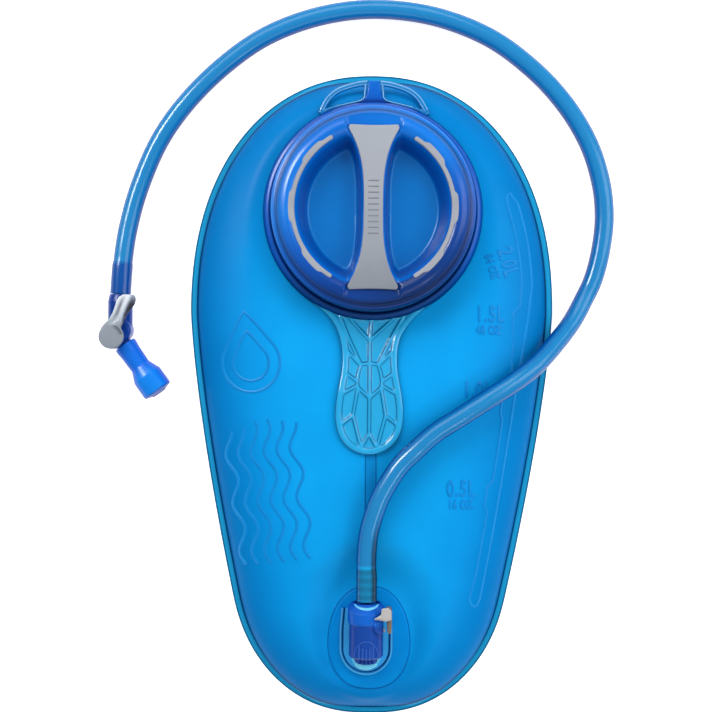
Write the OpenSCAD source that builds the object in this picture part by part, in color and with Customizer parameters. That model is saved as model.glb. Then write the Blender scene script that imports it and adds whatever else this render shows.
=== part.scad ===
// Hydration bladder: welded film reservoir with a wide screw cap, a clear fill handle,
// a quick-release outlet, a drink hose, a shut-off valve and a soft bite valve.
// It lies on its back on a level surface. Millimetres; +Z is the cap's axis and +Y runs
// to the cap end. The origin is on the surface, under the middle of the reservoir.

/* [Reservoir] */
// Width of the filled reservoir, weld to weld edge
body_w = 195.2; // [150:1:230]
// Length of the reservoir along +Y
body_l = 344; // [280:1:420]
// Height of the weld plane above the surface it lies on
weld_z = 10; // [6:0.5:16]
// Height of the front film's flat middle
front_z = 33; // [26:0.5:42]
// Width of the flat weld edge
weld_w = 3.8; // [2.5:0.1:8]
// Thickness of each film
film_t = 0.5; // [0.3:0.05:1]

/* [Fill port] */
// Distance from the middle of the reservoir to the cap's axis
port_y = 97; // [70:1:120]
// Radius of the fill opening
neck_bore_r = 44; // [34:0.5:46]
// Outer radius of the threaded neck
neck_r = 46.8; // [40:0.1:48]
// Outer radius of the fill collar
collar_r = 58; // [54:0.5:60]
// Height of the neck's top edge
neck_top = 44; // [40:0.5:46]

/* [Cap] */
// Outer radius of the cap
cap_r = 53; // [51:0.1:53.4]
// Height of the top of the cap's rim
cap_top = 50; // [49:0.1:52]
// Height of the floor of the two finger recesses
recess_z = 34; // [33:0.5:40]
// Half the length of the grip bar
bar_half = 42.4; // [36:0.2:44]

/* [Handle] */
// Thickness of the clear straps
strap_t = 2; // [1.5:0.1:3]
// Slope of the handle's neck, degrees
handle_tilt = 10; // [9:0.5:12]

/* [Outlet and hose] */
// Height of the quick-release socket's axis
socket_z = 38.5; // [36:0.5:42]
// Outer diameter of the hose
hose_d = 10.4; // [8:0.1:12]
// Inner diameter of the hose
hose_bore = 7; // [5:0.1:8]

/* [Mouthpiece] */
// Height of the shut-off valve's flow axis
valve_z = 8.3; // [8.2:0.1:12]
// Largest diameter of the bite valve
bite_d = 16.4; // [14:0.1:16.4]

/* [Hidden] */
$fn = 72;
e = 0.01;
half_l = body_l / 2;
half_w = body_w / 2;
// film height at the fill collar and at the outlet
collar_z = 26;
outlet_z = 25;
outlet_y = -131;
// the neck, the clear ring under the collar and the collar's own flange
ring_t = 1.2;
flange_z = collar_z + ring_t;
// handle hinge, at the front edge of the collar ring
hinge_y = 37;
hinge_z = flange_z + 1.3;
// socket: its mouth, its bore and how far its axis lies to the left of the middle
mouth_y = -107;
bore_r = 6.3;
socket_x = -1.6;
// middle of the oval flange that the socket stands on
oval_y = -128.2;
// shut-off valve: its turning axis, a point on each arm, and the directions of spout and lever
pivot = [-139.2, 30];
inlet_at = [-136.1, 33.5];
spout_at = [-138.3, 32.4];
spout_turn = 36;
lever_turn = -24.6;

// ---------- shared formulas ----------
function clamp01(t) = min(1, max(0, t));
function smooth(t) = let (c = clamp01(t)) c * c * (3 - 2 * c);
function mix(a, b, t) = a * (1 - t) + b * t;
function lobe(t, p, q) = pow(max(0, 1 - pow(min(1, abs(t)), p)), q);

// half width of the reservoir's outline at y: round shoulders, tapering sides, round foot
function outline(y) =
    y > 45 ? half_w * lobe((y - 45) / (half_l - 45), 2.2, 1 / 2.2)
           : (half_w - 0.0244 * pow(45 - y, 1.37))
             * (y > -108 ? 1 : lobe((-108 - y) / (half_l - 108), 2.45, 1 / 2.45));
function edge_w(y) = max(6, outline(y));

// bulge of the filled film at a point, 0 on the weld and 1 in the middle
function bulge(x, y, p, n) =
    lobe(x / (edge_w(y) - weld_w), p, 0.6) * lobe(y / (half_l - weld_w), n, 0.6);

// height of the front film above the weld, drawn flat under the collar and the outlet
function collar_reach(y) = 71 + 29 * clamp01((80 - y) / 60);
function outlet_reach(y) = 1.34 + 0.7 * clamp01((y + 150) / 50);
function front_rise(x, y) =
    let (r = norm([x, y - port_y]),
         c = 1 - smooth((r - 57) / (collar_reach(y) - 57)),
         o = norm([x / 21.5, (y - oval_y) / 27.3]),
         q = 1 - smooth((o - 1.05) / (outlet_reach(y) - 1.05)),
         h = (front_z - weld_z - film_t) * bulge(x, y, 2.6, 8),
         k = mix(h, collar_z - weld_z - film_t, c))
    mix(k, outlet_z - weld_z - film_t, q);
function rear_drop(x, y) = min(weld_z - film_t, (weld_z + 2) * bulge(x, y, 4, 12));

// grid of points over the outline: rows crowd toward the ends, columns toward the sides
rows = 48;
cols = 26;
function row_y(j) = let (s = 2 * j / rows - 1)
    sign(s) * half_l * (1 - pow(1 - abs(s), 1.75));
function col_x(i, y) = let (s = 2 * (i - 1) / (cols - 2) - 1)
    i == 0 ? -edge_w(y) : i == cols ? edge_w(y)
    : (edge_w(y) - weld_w) * sign(s) * (1 - pow(1 - abs(s), 1.45));
grid = [for (j = [0 : rows]) for (i = [0 : cols]) [col_x(i, row_y(j)), row_y(j)]];
function at(i, j) = j * (cols + 1) + i;
rim_loop = concat([for (i = [0 : cols - 1]) at(i, 0)], [for (j = [0 : rows - 1]) at(cols, j)],
                  [for (i = [cols : -1 : 1]) at(i, rows)], [for (j = [rows : -1 : 1]) at(0, j)]);

// a film skin between an upper and a lower height over the same grid
module skin(upper, lower) {
    n = len(grid);
    m = len(rim_loop);
    pts = concat([for (k = [0 : n - 1]) [grid[k][0], grid[k][1], upper[k]]],
                 [for (k = [0 : n - 1]) [grid[k][0], grid[k][1], lower[k]]]);
    top = [for (j = [0 : rows - 1]) for (i = [0 : cols - 1]) for (h = [0, 1])
        h == 0 ? [at(i, j), at(i + 1, j + 1), at(i + 1, j)]
               : [at(i, j), at(i, j + 1), at(i + 1, j + 1)]];
    low = [for (f = top) [f[2] + n, f[1] + n, f[0] + n]];
    side = [for (k = [0 : m - 1]) for (h = [0, 1]) let (a = rim_loop[k], b = rim_loop[(k + 1) % m])
        h == 0 ? [a, b, b + n] : [a, b + n, a + n]];
    polyhedron(points = pts, faces = concat(top, low, side), convexity = 6);
}

// ---------- tubes ----------
function unit(v) = v / norm(v);
function spline(p0, p1, p2, p3, t) =
    0.5 * (2 * p1 + (p2 - p0) * t + (2 * p0 - 5 * p1 + 4 * p2 - p3) * t * t
           + (3 * p1 - p0 - 3 * p2 + p3) * t * t * t);
function smooth_path(p, steps) = let (n = len(p)) concat(
    [for (i = [0 : n - 2]) for (k = [0 : steps - 1])
        spline(p[max(0, i - 1)], p[i], p[i + 1], p[min(n - 1, i + 2)], k / steps)],
    [p[n - 1]]);
function path_dir(p, i) = unit(p[min(len(p) - 1, i + 1)] - p[max(0, i - 1)]);
function ring(p, i, up, r, sides) =
    let (t = path_dir(p, i), a = unit(cross(up, t)), b = cross(t, a))
    [for (k = [0 : sides - 1]) p[i] + r * (cos(360 * k / sides) * a + sin(360 * k / sides) * b)];

// solid rod along a path
module rod(p, up, r, sides) {
    n = len(p);
    pts = [for (i = [0 : n - 1]) each ring(p, i, up, r, sides)];
    wall = [for (i = [0 : n - 2]) for (k = [0 : sides - 1]) let (l = (k + 1) % sides)
        for (h = [0, 1])
        h == 0 ? [i * sides + k, (i + 1) * sides + k, (i + 1) * sides + l]
               : [i * sides + k, (i + 1) * sides + l, i * sides + l]];
    ends = [[for (k = [0 : sides - 1]) k], [for (k = [sides - 1 : -1 : 0]) (n - 1) * sides + k]];
    polyhedron(points = pts, faces = concat(wall, ends), convexity = 10);
}

// open pipe along a path
module pipe(p, up, r_out, r_in, sides) {
    n = len(p);
    m = n * sides;
    pts = concat([for (i = [0 : n - 1]) each ring(p, i, up, r_out, sides)],
                 [for (i = [0 : n - 1]) each ring(p, i, up, r_in, sides)]);
    outer = [for (i = [0 : n - 2]) for (k = [0 : sides - 1]) let (l = (k + 1) % sides)
        for (h = [0, 1])
        h == 0 ? [i * sides + k, (i + 1) * sides + k, (i + 1) * sides + l]
               : [i * sides + k, (i + 1) * sides + l, i * sides + l]];
    inner = [for (f = outer) [f[2] + m, f[1] + m, f[0] + m]];
    caps = [for (i = [0, n - 1]) for (k = [0 : sides - 1]) let (l = (k + 1) % sides)
        let (a = i * sides + k, b = i * sides + l)
        i == 0 ? [a, b, b + m, a + m] : [b, a, a + m, b + m]];
    polyhedron(points = pts, faces = concat(outer, inner, caps), convexity = 10);
}

// hose route, from the connector over the film, down to the table and round the cap end
hose_route = [
    [-1.6, -106.4, 38.5], [-1.6, -96, 38.5], [-1.8, -84, 38.9], [-1, -73, 39.4], [1, -64, 40.1],
    [4.4, -54, 40.8],
    [9, -45, 41.2], [15, -36, 41.3], [23, -28, 41.2], [33, -19, 40.2], [47, -10, 39], [61, -1, 37],
    [75, 8, 33.5], [87, 17, 27.5], [98, 28, 19], [108, 40, 11], [115, 52, 6.6], [120.6, 64, 5.4],
    [124.5, 80, 5.4], [126.2, 98, 5.4], [124, 117, 5.4], [117, 138, 5.4], [104, 159, 5.4],
    [86, 178, 5.4], [62, 195, 5.4], [32, 206, 5.4], [0, 209.4, 5.4], [-30, 205.3, 5.4],
    [-58, 194.6, 5.4], [-81, 178.5, 5.4], [-101, 158.5, 5.4], [-116, 137, 5.4],
    [-126.6, 112, 5.5], [-132.4, 90, 6.4], [-135, 71, 7.8], [-136.1, 53, 8.3]];

// rod along a line, laid on the Y axis, from y0 to y1
module y_rod(y0, y1, r, z = socket_z) {
    translate([socket_x, y1, z]) rotate([90, 0, 0]) cylinder(h = y1 - y0, r = r);
}
module y_ring(y, major, minor, z = socket_z) {
    translate([socket_x, y, z]) rotate([90, 0, 0]) rotate_extrude()
        translate([major, 0]) circle(r = minor, $fn = 24);
}

// ---------- reservoir ----------
module front_film() {
    color([0.12, 0.50, 0.86, 0.6])
    difference() {
        skin([for (p = grid) weld_z + film_t + front_rise(p[0], p[1])],
             [for (p = grid) weld_z + front_rise(p[0], p[1])]);
        translate([0, port_y, collar_z - 6]) cylinder(h = 12, r = neck_bore_r + 0.6);
        translate([socket_x, outlet_y, outlet_z - 6]) cylinder(h = 12, r = 6.4);
    }
}

module rear_film() {
    color([0.10, 0.44, 0.80, 0.6])
    skin([for (p = grid) weld_z - rear_drop(p[0], p[1])],
         [for (p = grid) weld_z - film_t - rear_drop(p[0], p[1])]);
}

// upright web down the middle that holds the two films together, with holes for the water
module baffle_web() {
    top = front_z - film_t - 0.3;
    color([0.08, 0.40, 0.74, 0.7])
    difference() {
        translate([0, -4, 0]) rotate([90, 0, 0]) linear_extrude(66)
            polygon([[-2.8, film_t], [2.8, film_t], [2.8, film_t + 0.5], [0.4, film_t + 0.5],
                     [0.4, top - 0.5], [2.8, top - 0.5], [2.8, top], [-2.8, top],
                     [-2.8, top - 0.5], [-0.4, top - 0.5], [-0.4, film_t + 0.5],
                     [-2.8, film_t + 0.5]]);
        for (y = [-59 : 22 : -15])
            translate([-2, y, 16.5]) rotate([0, 90, 0]) cylinder(h = 4, r = 7);
    }
}

// ---------- fill port ----------
// one strap of the hanging eye beside the centre tab
module hang_eye() {
    difference() {
        polygon([[-29, 146], [-27.6, 150.5], [-24.5, 156.2], [-20, 160.3], [-14.5, 162.6],
                 [-8, 164.4], [-2.9, 165.2], [-2.9, 152], [-8, 150]]);
        polygon([[-24.8, 151], [-21.8, 155.6], [-17.6, 159], [-12, 161], [-5.8, 161.8],
                 [-5.6, 156.4], [-7.6, 154.6], [-14, 153.2], [-21, 150.2]]);
    }
}

// the strap's foot runs in under the collar's flange, welded to the ring
module eye_strap() {
    difference() {
        translate([0, 0, collar_z + 0.5]) linear_extrude(strap_t) hang_eye();
        translate([0, port_y, flange_z]) cylinder(h = 4, r = collar_r + 0.2);
    }
}
module eye_strap_left() {
    color([0.80, 0.92, 1.0, 0.45]) eye_strap();
}
module eye_strap_right() {
    color([0.80, 0.92, 1.0, 0.45]) mirror([1, 0, 0]) eye_strap();
}

// clear ring welded to the film, with the fan of straps that meets the handle
module collar_ring() {
    color([0.80, 0.92, 1.0, 0.45])
    difference() {
        union() {
            translate([0, port_y, collar_z]) difference() {
                cylinder(h = ring_t, r = collar_r - 0.4);
                translate([0, 0, -1]) cylinder(h = ring_t + 2, r = neck_bore_r + 0.6);
            }
            translate([0, 0, collar_z]) linear_extrude(ring_t + 1.2) fan_2d();
        }
        translate([0, port_y, flange_z]) cylinder(h = 4, r = collar_r + 0.3);
        // trough that the handle's hinge bead rolls in
        hinge_rod(strap_t / 2 + 0.3, 20);
    }
}

// blue collar: weld flange and the upstand round the cap's skirt
module fill_collar() {
    color([0.05, 0.32, 0.80])
    translate([0, port_y, 0]) rotate_extrude()
        polygon([[neck_r, flange_z], [collar_r, flange_z], [collar_r - 0.3, flange_z + 1.2],
                 [collar_r - 3.4, flange_z + 4.6], [collar_r - 4.2, flange_z + 4.6],
                 [collar_r - 4.2, flange_z + 2], [neck_r, flange_z + 2]]);
}
// threaded neck, with a lip below that holds the film's edge
module fill_neck() {
    color([0.05, 0.32, 0.80])
    translate([0, port_y, 0]) rotate_extrude()
        polygon([[neck_bore_r, flange_z - 3], [neck_bore_r + 0.5, flange_z - 3.4],
                 [neck_bore_r + 0.5, flange_z], [neck_r, flange_z], [neck_r, 33],
                 [neck_r + 1, 33.6], [neck_r + 1, 34.4], [neck_r, 35], [neck_r, 38.4],
                 [neck_r + 1, 39], [neck_r + 1, 39.8], [neck_r, 40.4], [neck_r, neck_top],
                 [neck_bore_r, neck_top]]);
}
// tab between the hanging eyes, outside the collar's flange
module collar_tab() {
    color([0.05, 0.32, 0.80])
    translate([0, port_y, collar_z + 0.5]) linear_extrude(strap_t + 0.5) difference() {
        translate([-2.7, 57]) square([5.4, 11.6]);
        circle(r = collar_r);
    }
}

// ---------- handle lattice, drawn flat ----------
module bar2(a, b, w) {
    d = b - a;
    translate(a) rotate(atan2(d[1], d[0])) translate([0, -w / 2]) square([norm(d), w]);
}
module arm(a, b, w) {
    for (m = [0, 1]) mirror([m, 0]) bar2(a, b, w);
}

// fan of straps between the ring and the handle's hinge
module fan_2d() {
    intersection() {
        union() {
            arm([41.5, 56.5], [19, 36.8], 3.2);
            arm([30, 48], [16, 36.8], 2);
            arm([14, 42], [8, 36.8], 2);
            bar2([0, 41], [0, 36.8], 2.4);
            translate([-20, 36.8]) square([40, 2.6]);
        }
        difference() {
            translate([-60, 36.8]) square([120, 30]);
            translate([0, port_y]) circle(r = collar_r - 2);
        }
    }
}

// bead along the hinge line, where the handle folds up from the ring
module hinge_rod(r, half) {
    translate([-half, hinge_y, hinge_z]) rotate([0, 90, 0]) cylinder(h = 2 * half, r = r);
}

// outline of the handle: neck, waist and round end, inset by d
function handle_half(y) =
    y > 18 ? 14.6 + 9.3 * pow((y - 18) / 25, 2.5)
    : y > -9 ? 14.6 + 3.3 * smooth((18 - y) / 27)
    : 17.9 * lobe((-9 - y) / 22, 2.25, 1 / 2.25);
module handle_solid(d) {
    ys = [for (k = [0 : 30]) 36.4 - 67.3 * (1 - pow(1 - k / 30, 1.35))];
    right = [for (y = ys) [max(0.2, handle_half(y) - d), y]];
    left = [for (k = [len(ys) - 1 : -1 : 0]) [-right[k][0], right[k][1]]];
    polygon(concat(right, left));
}
// the lattice of ribs inside the outline, right half
lattice = [[[12, 38], [0, 28.7]], [[15, 38], [4.6, 16.3]], [[12.6, 24], [4.8, 15.8]],
           [[0, 17], [4.5, 16.2]], [[4.5, 16.2], [5.8, 12]], [[5.8, 12], [6.6, 7.3]],
           [[6.6, 7.3], [6, 4.2]], [[6, 4.2], [0, -1.2]], [[12.9, 12], [6.6, 7.5]],
           [[13.3, 1.4], [6.2, 5.4]], [[6.1, 4], [8.5, -10.3]], [[8.5, -10.3], [14.6, -15.2]],
           [[8.5, -10.3], [4.2, -27]], [[0, -19.7], [4.2, -27.4]]];
module handle_2d() {
    difference() {
        handle_solid(0);
        intersection() {
            handle_solid(3.4);
            translate([-40, -27.4]) square([80, 61.4]);
        }
    }
    intersection() {
        handle_solid(0);
        union() {
            bar2([0, 36], [0, -19.7], 2);
            for (l = lattice) arm(l[0], l[1], 2);
        }
    }
}
// the neck slopes up from the hinge and the grip lies level above the film
module fill_handle() {
    knee = 2;
    color([0.80, 0.92, 1.0, 0.45])
    translate([0, hinge_y, hinge_z]) rotate([-handle_tilt, 0, 0]) translate([0, -hinge_y, 0]) {
        translate([0, 0, -strap_t / 2]) linear_extrude(strap_t) intersection() {
            handle_2d();
            translate([-40, knee]) square([80, 60]);
        }
        translate([0, knee, 0]) rotate([handle_tilt, 0, 0]) translate([0, -knee, -strap_t / 2])
            linear_extrude(strap_t) intersection() {
                handle_2d();
                translate([-40, knee - 60]) square([80, 60.1]);
            }
    }
    color([0.80, 0.92, 1.0, 0.45]) hinge_rod(strap_t / 2, 18);
}

// ---------- cap ----------
module cap_seal() {
    color([0.86, 0.90, 0.94])
    translate([0, port_y, 0]) rotate_extrude()
        polygon([[neck_bore_r + 0.2, neck_top + 0.3], [neck_r - 0.2, neck_top + 0.3],
                 [neck_r - 0.2, neck_top + 2.4], [neck_bore_r + 0.2, neck_top + 2.4]]);
}

// half width of the grip bar along its length
function bar_w(y) = 4.9 + 8.2 * pow(min(1, abs(y) / bar_half), 2.8);
module bar_2d(grow, half) {
    ys = [for (k = [-16 : 16]) half * k / 16];
    right = [for (y = ys) [bar_w(y) + grow, y]];
    left = [for (k = [len(ys) - 1 : -1 : 0]) [-right[k][0], right[k][1]]];
    polygon(concat(right, left));
}
// domed rim, from the finger recesses out to the skirt
cup_r = 41.4;
skirt_r = 50.7;
module cap_shell() {
    color([0.05, 0.36, 0.88])
    translate([0, port_y, 0]) rotate_extrude()
        polygon([[cup_r, 46.9], [49.4, 46.9], [skirt_r, 45.6], [skirt_r, 45], [cap_r - 0.8, 45],
                 [cap_r - 2.6, 47.6], [cap_r - 5.4, 49.5], [cap_r - 8, cap_top],
                 [cap_r - 10.6, 49.6], [cup_r, 48.9]]);
}
// skirt with the inner thread
module cap_skirt() {
    color([0.05, 0.36, 0.88])
    translate([0, port_y, 0]) rotate_extrude()
        polygon([[skirt_r, 32.2], [cap_r - 0.6, 32.2], [cap_r - 0.2, 38], [cap_r, 42],
                 [cap_r - 0.8, 45], [skirt_r, 45], [skirt_r, 38.2], [skirt_r - 0.7, 37.6],
                 [skirt_r - 0.7, 36.8], [skirt_r, 36.2]]);
}
// cup of the two finger recesses, and the web that carries the grip bar
module cap_cup() {
    color([0.05, 0.36, 0.88])
    translate([0, port_y, 0]) {
        rotate_extrude()
            polygon([[0, recess_z - 2.2], [34, recess_z - 2.2], [37.2, recess_z], [cup_r, 46.9],
                     [cup_r, 48.9], [40, 48.2], [39.2, 47], [34.8, recess_z], [0, recess_z]]);
        translate([0, 0, recess_z - 1]) linear_extrude(46.4 - recess_z + 1) intersection() {
            bar_2d(1.4, bar_half);
            circle(r = 40.6);
        }
    }
}
module cap_grip_bar() {
    color([0.60, 0.60, 0.62])
    translate([0, port_y, 46.4]) difference() {
        linear_extrude(2.3) bar_2d(0, bar_half);
        for (y = [-12 : 3 : 12]) translate([-2.6, y - 0.4, 1.9]) cube([5.2, 0.8, 1]);
        for (m = [0, 1]) mirror([0, m, 0]) translate([0, 0, -1]) difference() {
            translate([-20, bar_half - 3, 0]) cube([40, 6, 5]);
            cylinder(h = 5, r = bar_half + 1.4);
        }
    }
}
// rubbery pad let into the rim, with three wider scallops
module grip_pad() {
    z0 = 47.2;
    for (s = [[-58, 116, 39.9, 42.1], [-10, 20, 40.6, 44.1], [-47, 16, 40.6, 43.7],
              [31, 16, 40.6, 43.7]])
        rotate(s[0]) rotate_extrude(angle = s[1])
            translate([s[2], z0]) square([s[3] - s[2], 2.4]);
}
module cap_grip_left() {
    color([0.60, 0.60, 0.62]) translate([0, port_y, 0]) rotate(180) grip_pad();
}
module cap_grip_right() {
    color([0.60, 0.60, 0.62]) translate([0, port_y, 0]) grip_pad();
}

// ---------- outlet ----------
module oval_2d(w, l) {
    polygon([for (k = [0 : 47]) let (a = 7.5 * k)
        [w / 2 * cos(a) * (1 - 0.08 * sin(a)), l / 2 * sin(a)]]);
}
module cradle_2d(w, back) {
    translate([socket_x, outlet_y - 2.5]) {
        circle(r = w / 2);
        translate([-w / 2, 0]) square([w, back]);
    }
}
module outlet_flange() {
    color([0.80, 0.92, 1.0, 0.45])
    difference() {
        union() {
            translate([0, oval_y, outlet_z]) linear_extrude(1.6) oval_2d(43, 54.6);
            translate([0, 0, outlet_z + 1]) linear_extrude(socket_z - outlet_z - 3)
                cradle_2d(29, 24);
        }
        translate([0, 0, outlet_z + 3]) linear_extrude(20) cradle_2d(24.4, 30);
        translate([socket_x, outlet_y, outlet_z - 1]) cylinder(h = 8, r = 6.4);
    }
}

// quick-release socket: barrel, mouth collar, nose and the duct down into the reservoir
module outlet_socket() {
    color([0.05, 0.32, 0.80])
    difference() {
        union() {
            y_rod(-136, mouth_y, 9);
            y_rod(-122.6, mouth_y, 9.65);
            y_rod(-140, -135, 6.25);
            translate([socket_x, outlet_y, outlet_z - 2]) cylinder(h = socket_z - outlet_z + 2, r = 6.3);
            translate([socket_x, outlet_y, outlet_z + 3]) cylinder(h = 2, r = 11.8);
        }
        y_rod(-124, mouth_y + 1, bore_r);
        y_rod(-137.5, mouth_y, 4.6);
        translate([socket_x, outlet_y, outlet_z - 3]) cylinder(h = 13, r = 4.6);
        // room for the latch plate and the button
        y_rod(-121.1, -118.9, 8.3);
        translate([socket_x, 0, socket_z]) {
            translate([0.2, -122, 8]) cube([12, 16, 4]);
            translate([7.5, -122, -2]) cube([5, 16, 12]);
            translate([2.6, -121.1, 4.7]) cube([9.9, 2.2, 3.5]);
        }
    }
}
module outlet_poppet() {
    color([0.90, 0.92, 0.95])
    difference() {
        union() {
            y_rod(-130, -127.6, 4.2);
            y_rod(-127.6, -123.7, 1.6);
            y_rod(-134, -130, 1.4);
        }
        translate([socket_x - 5, -129.4, socket_z - 0.5]) cube([2, 1.2, 1]);
    }
}
module poppet_spring() {
    turns = 4;
    color([0.75, 0.76, 0.78])
    rod([for (k = [0 : 64]) let (a = 360 * turns * k / 64)
            [socket_x + 2.9 * cos(a), -136.9 + 6.2 * k / 64, socket_z + 2.9 * sin(a)]],
        [0, 1, 0], 0.4, 8);
}
module latch_plate() {
    color([0.75, 0.76, 0.78])
    difference() {
        union() {
            y_rod(-120.8, -119.2, 7.95);
            translate([socket_x + 4, -120.8, socket_z + 5]) cube([5.7, 1.6, 2.2]);
        }
        translate([0.4, 0, 0]) y_rod(-122, -118, 6.9);
        translate([socket_x - 9, -122, socket_z - 9]) cube([9, 4, 18]);
    }
}
module release_button() {
    color([0.56, 0.57, 0.59])
    translate([socket_x, 0, 0]) difference() {
        union() {
            translate([0, 0, socket_z + 8.2]) linear_extrude(2.4)
                polygon([[2.4, -114.2], [4.3, -112.4], [5.8, -111.3], [6.3, -108.2], [10.4, -107.8],
                         [11.8, -110.4], [11.8, -114.8], [9, -115.4]]);
            translate([9.7, -121.6, socket_z - 1.6]) cube([2.1, 12.4, 10.8]);
        }
        for (y = [-120 : 2.4 : -110]) translate([11.5, y, socket_z]) cube([1, 0.8, 7]);
    }
}

// ---------- hose and its plug ----------
module connector_plug() {
    color([0.05, 0.32, 0.80])
    difference() {
        union() {
            y_rod(-123.6, -107.4, 5.8);
            y_rod(-123.6, -121.6, 6.24);
            y_rod(-117.4, -114.6, 6.24);
            y_rod(-109.2, -106.6, 6.24);
            y_rod(-107, -90, 3.1);
            for (y = [-105.4 : 4 : -92])
                translate([socket_x, y, socket_z]) rotate([90, 0, 0]) cylinder(h = 2.4, r1 = 3.45, r2 = 3.1);
        }
        y_rod(-125, -89, 2.4);
        translate([socket_x, -112.6, socket_z]) rotate([90, 0, 0]) rotate_extrude()
            translate([4.5, -0.9]) square([3, 1.8]);
    }
}
module plug_seal() {
    color([0.12, 0.12, 0.13])
    y_ring(-112.6, 5.3, 0.7);
}
module drink_hose() {
    color([0.20, 0.55, 0.90, 0.6])
    pipe(smooth_path(hose_route, 2), [0, 0, 1], hose_d / 2, hose_bore / 2, 12);
}

// ---------- shut-off valve and mouthpiece ----------
module from(p, turn = 0) {
    translate([p[0], p[1], valve_z]) rotate(turn) children();
}
module shutoff_body() {
    color([0.05, 0.32, 0.80])
    difference() {
        union() {
            from(pivot) translate([0, 0, -6.9]) cylinder(h = 14.3, r = 6.4);
            from(inlet_at) translate([0, 0, -6.8]) cylinder(h = 13.6, r = 6.7);
            // inlet arm and hose barb, toward +Y
            from(inlet_at) rotate([-90, 0, 0]) {
                cylinder(h = 13, r = 6.5);
                cylinder(h = 18.6, r = 5.7);
                cylinder(h = 36, r = 3.1);
                for (s = [21 : 4 : 33]) translate([0, 0, s]) cylinder(h = 2.4, r1 = 3.1, r2 = 3.42);
            }
            // spout arm under the bite valve, toward -Y and +X
            from(spout_at, spout_turn) rotate([90, 0, 0]) {
                cylinder(h = 6.6, r = 5.6);
                cylinder(h = 22, r = 4.1);
            }
        }
        from(pivot) translate([0, 0, -5.4]) cylinder(h = 20, r = 5);
        from(inlet_at) rotate([-90, 0, 0]) cylinder(h = 40, r = 2.3);
        from(spout_at, spout_turn) rotate([90, 0, 0]) cylinder(h = 30, r = 2.4);
    }
}
// turning core with a bent passage that joins the two arms when the valve is open
module shutoff_spool() {
    color([0.88, 0.90, 0.94])
    from(pivot) difference() {
        translate([0, 0, -5.3]) cylinder(h = 14.6, r = 4.94);
        rotate(-35) rotate([-90, 0, 0]) cylinder(h = 10, r = 2.3);
        rotate(spout_turn) rotate([90, 0, 0]) cylinder(h = 10, r = 2.3);
        translate([0, 0, -2.6]) cylinder(h = 5.2, r = 2.9);
        translate([0, 0, 4.6]) rotate_extrude() translate([4, 0]) square([3, 1.6]);
    }
}
module spool_seal() {
    color([0.12, 0.12, 0.13])
    from(pivot) translate([0, 0, 5.4]) rotate_extrude() translate([4.3, 0]) circle(r = 0.38, $fn = 24);
}
// cap disc on the core, and an arm with a deep thumb wall
module shutoff_lever() {
    color([0.56, 0.57, 0.59])
    from(pivot) translate([0, 0, 8]) rotate(lever_turn) difference() {
        union() {
            cylinder(h = 3.2, r = 6.7);
            translate([0, 0, 0.4]) linear_extrude(2.8)
                polygon([[-5.4, 2], [5.4, 2], [3.4, 9], [2.7, 14], [3.4, 18], [4.4, 20.4], [3.6, 23],
                         [0, 24], [-3.6, 23], [-4.4, 20.4], [-3.8, 16], [-3.4, 12], [-4, 8]]);
        }
        translate([0, 0, -1]) cylinder(h = 2.4, r = 5);
    }
}
// soft mouthpiece: sleeve, flared shoulder and domed face with a slit
module bite_valve() {
    color([0.10, 0.50, 0.95])
    from(spout_at, spout_turn) rotate([90, 0, 0]) difference() {
        rotate_extrude()
            polygon([[4.45, 8.3], [6.1, 8.3], [6.1, 10.6], [5.5, 22.6], [bite_d / 2, 29],
                     [bite_d / 2, 37.4], [bite_d / 2 - 1.2, 38.6], [0, 39.6], [0, 37.8],
                     [5.6, 37], [6.4, 35.6], [6.4, 31], [4.45, 25]]);
        translate([-4.5, -0.3, 36]) cube([9, 0.6, 6]);
    }
}

front_film();
rear_film();
baffle_web();
collar_ring();
eye_strap_left();
eye_strap_right();
fill_collar();
fill_neck();
collar_tab();
fill_handle();
cap_seal();
cap_shell();
cap_skirt();
cap_cup();
cap_grip_bar();
cap_grip_left();
cap_grip_right();
outlet_flange();
outlet_socket();
outlet_poppet();
poppet_spring();
latch_plate();
release_button();
connector_plug();
plug_seal();
drink_hose();
shutoff_body();
shutoff_spool();
spool_seal();
shutoff_lever();
bite_valve();
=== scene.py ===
import bpy
import bmesh
import math
import numpy as np
from mathutils import Vector, Matrix


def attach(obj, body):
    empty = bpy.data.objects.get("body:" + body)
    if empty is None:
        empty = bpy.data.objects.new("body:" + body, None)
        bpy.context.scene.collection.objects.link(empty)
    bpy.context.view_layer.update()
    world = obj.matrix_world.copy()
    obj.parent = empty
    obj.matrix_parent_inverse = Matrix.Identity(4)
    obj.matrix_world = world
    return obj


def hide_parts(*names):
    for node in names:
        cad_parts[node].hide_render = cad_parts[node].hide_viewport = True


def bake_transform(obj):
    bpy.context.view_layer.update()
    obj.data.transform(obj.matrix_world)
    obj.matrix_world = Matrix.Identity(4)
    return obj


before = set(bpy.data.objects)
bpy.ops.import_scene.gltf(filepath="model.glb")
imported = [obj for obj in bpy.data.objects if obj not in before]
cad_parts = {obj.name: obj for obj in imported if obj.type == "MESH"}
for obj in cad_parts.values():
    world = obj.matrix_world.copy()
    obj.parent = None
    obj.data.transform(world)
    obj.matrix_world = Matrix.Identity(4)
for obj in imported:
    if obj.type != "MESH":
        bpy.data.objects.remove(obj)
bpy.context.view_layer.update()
MM = 0.001


def place(name, data):
    """An object that holds the data, linked into the scene."""
    ob = bpy.data.objects.new(name, data)
    bpy.context.scene.collection.objects.link(ob)
    return ob


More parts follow.
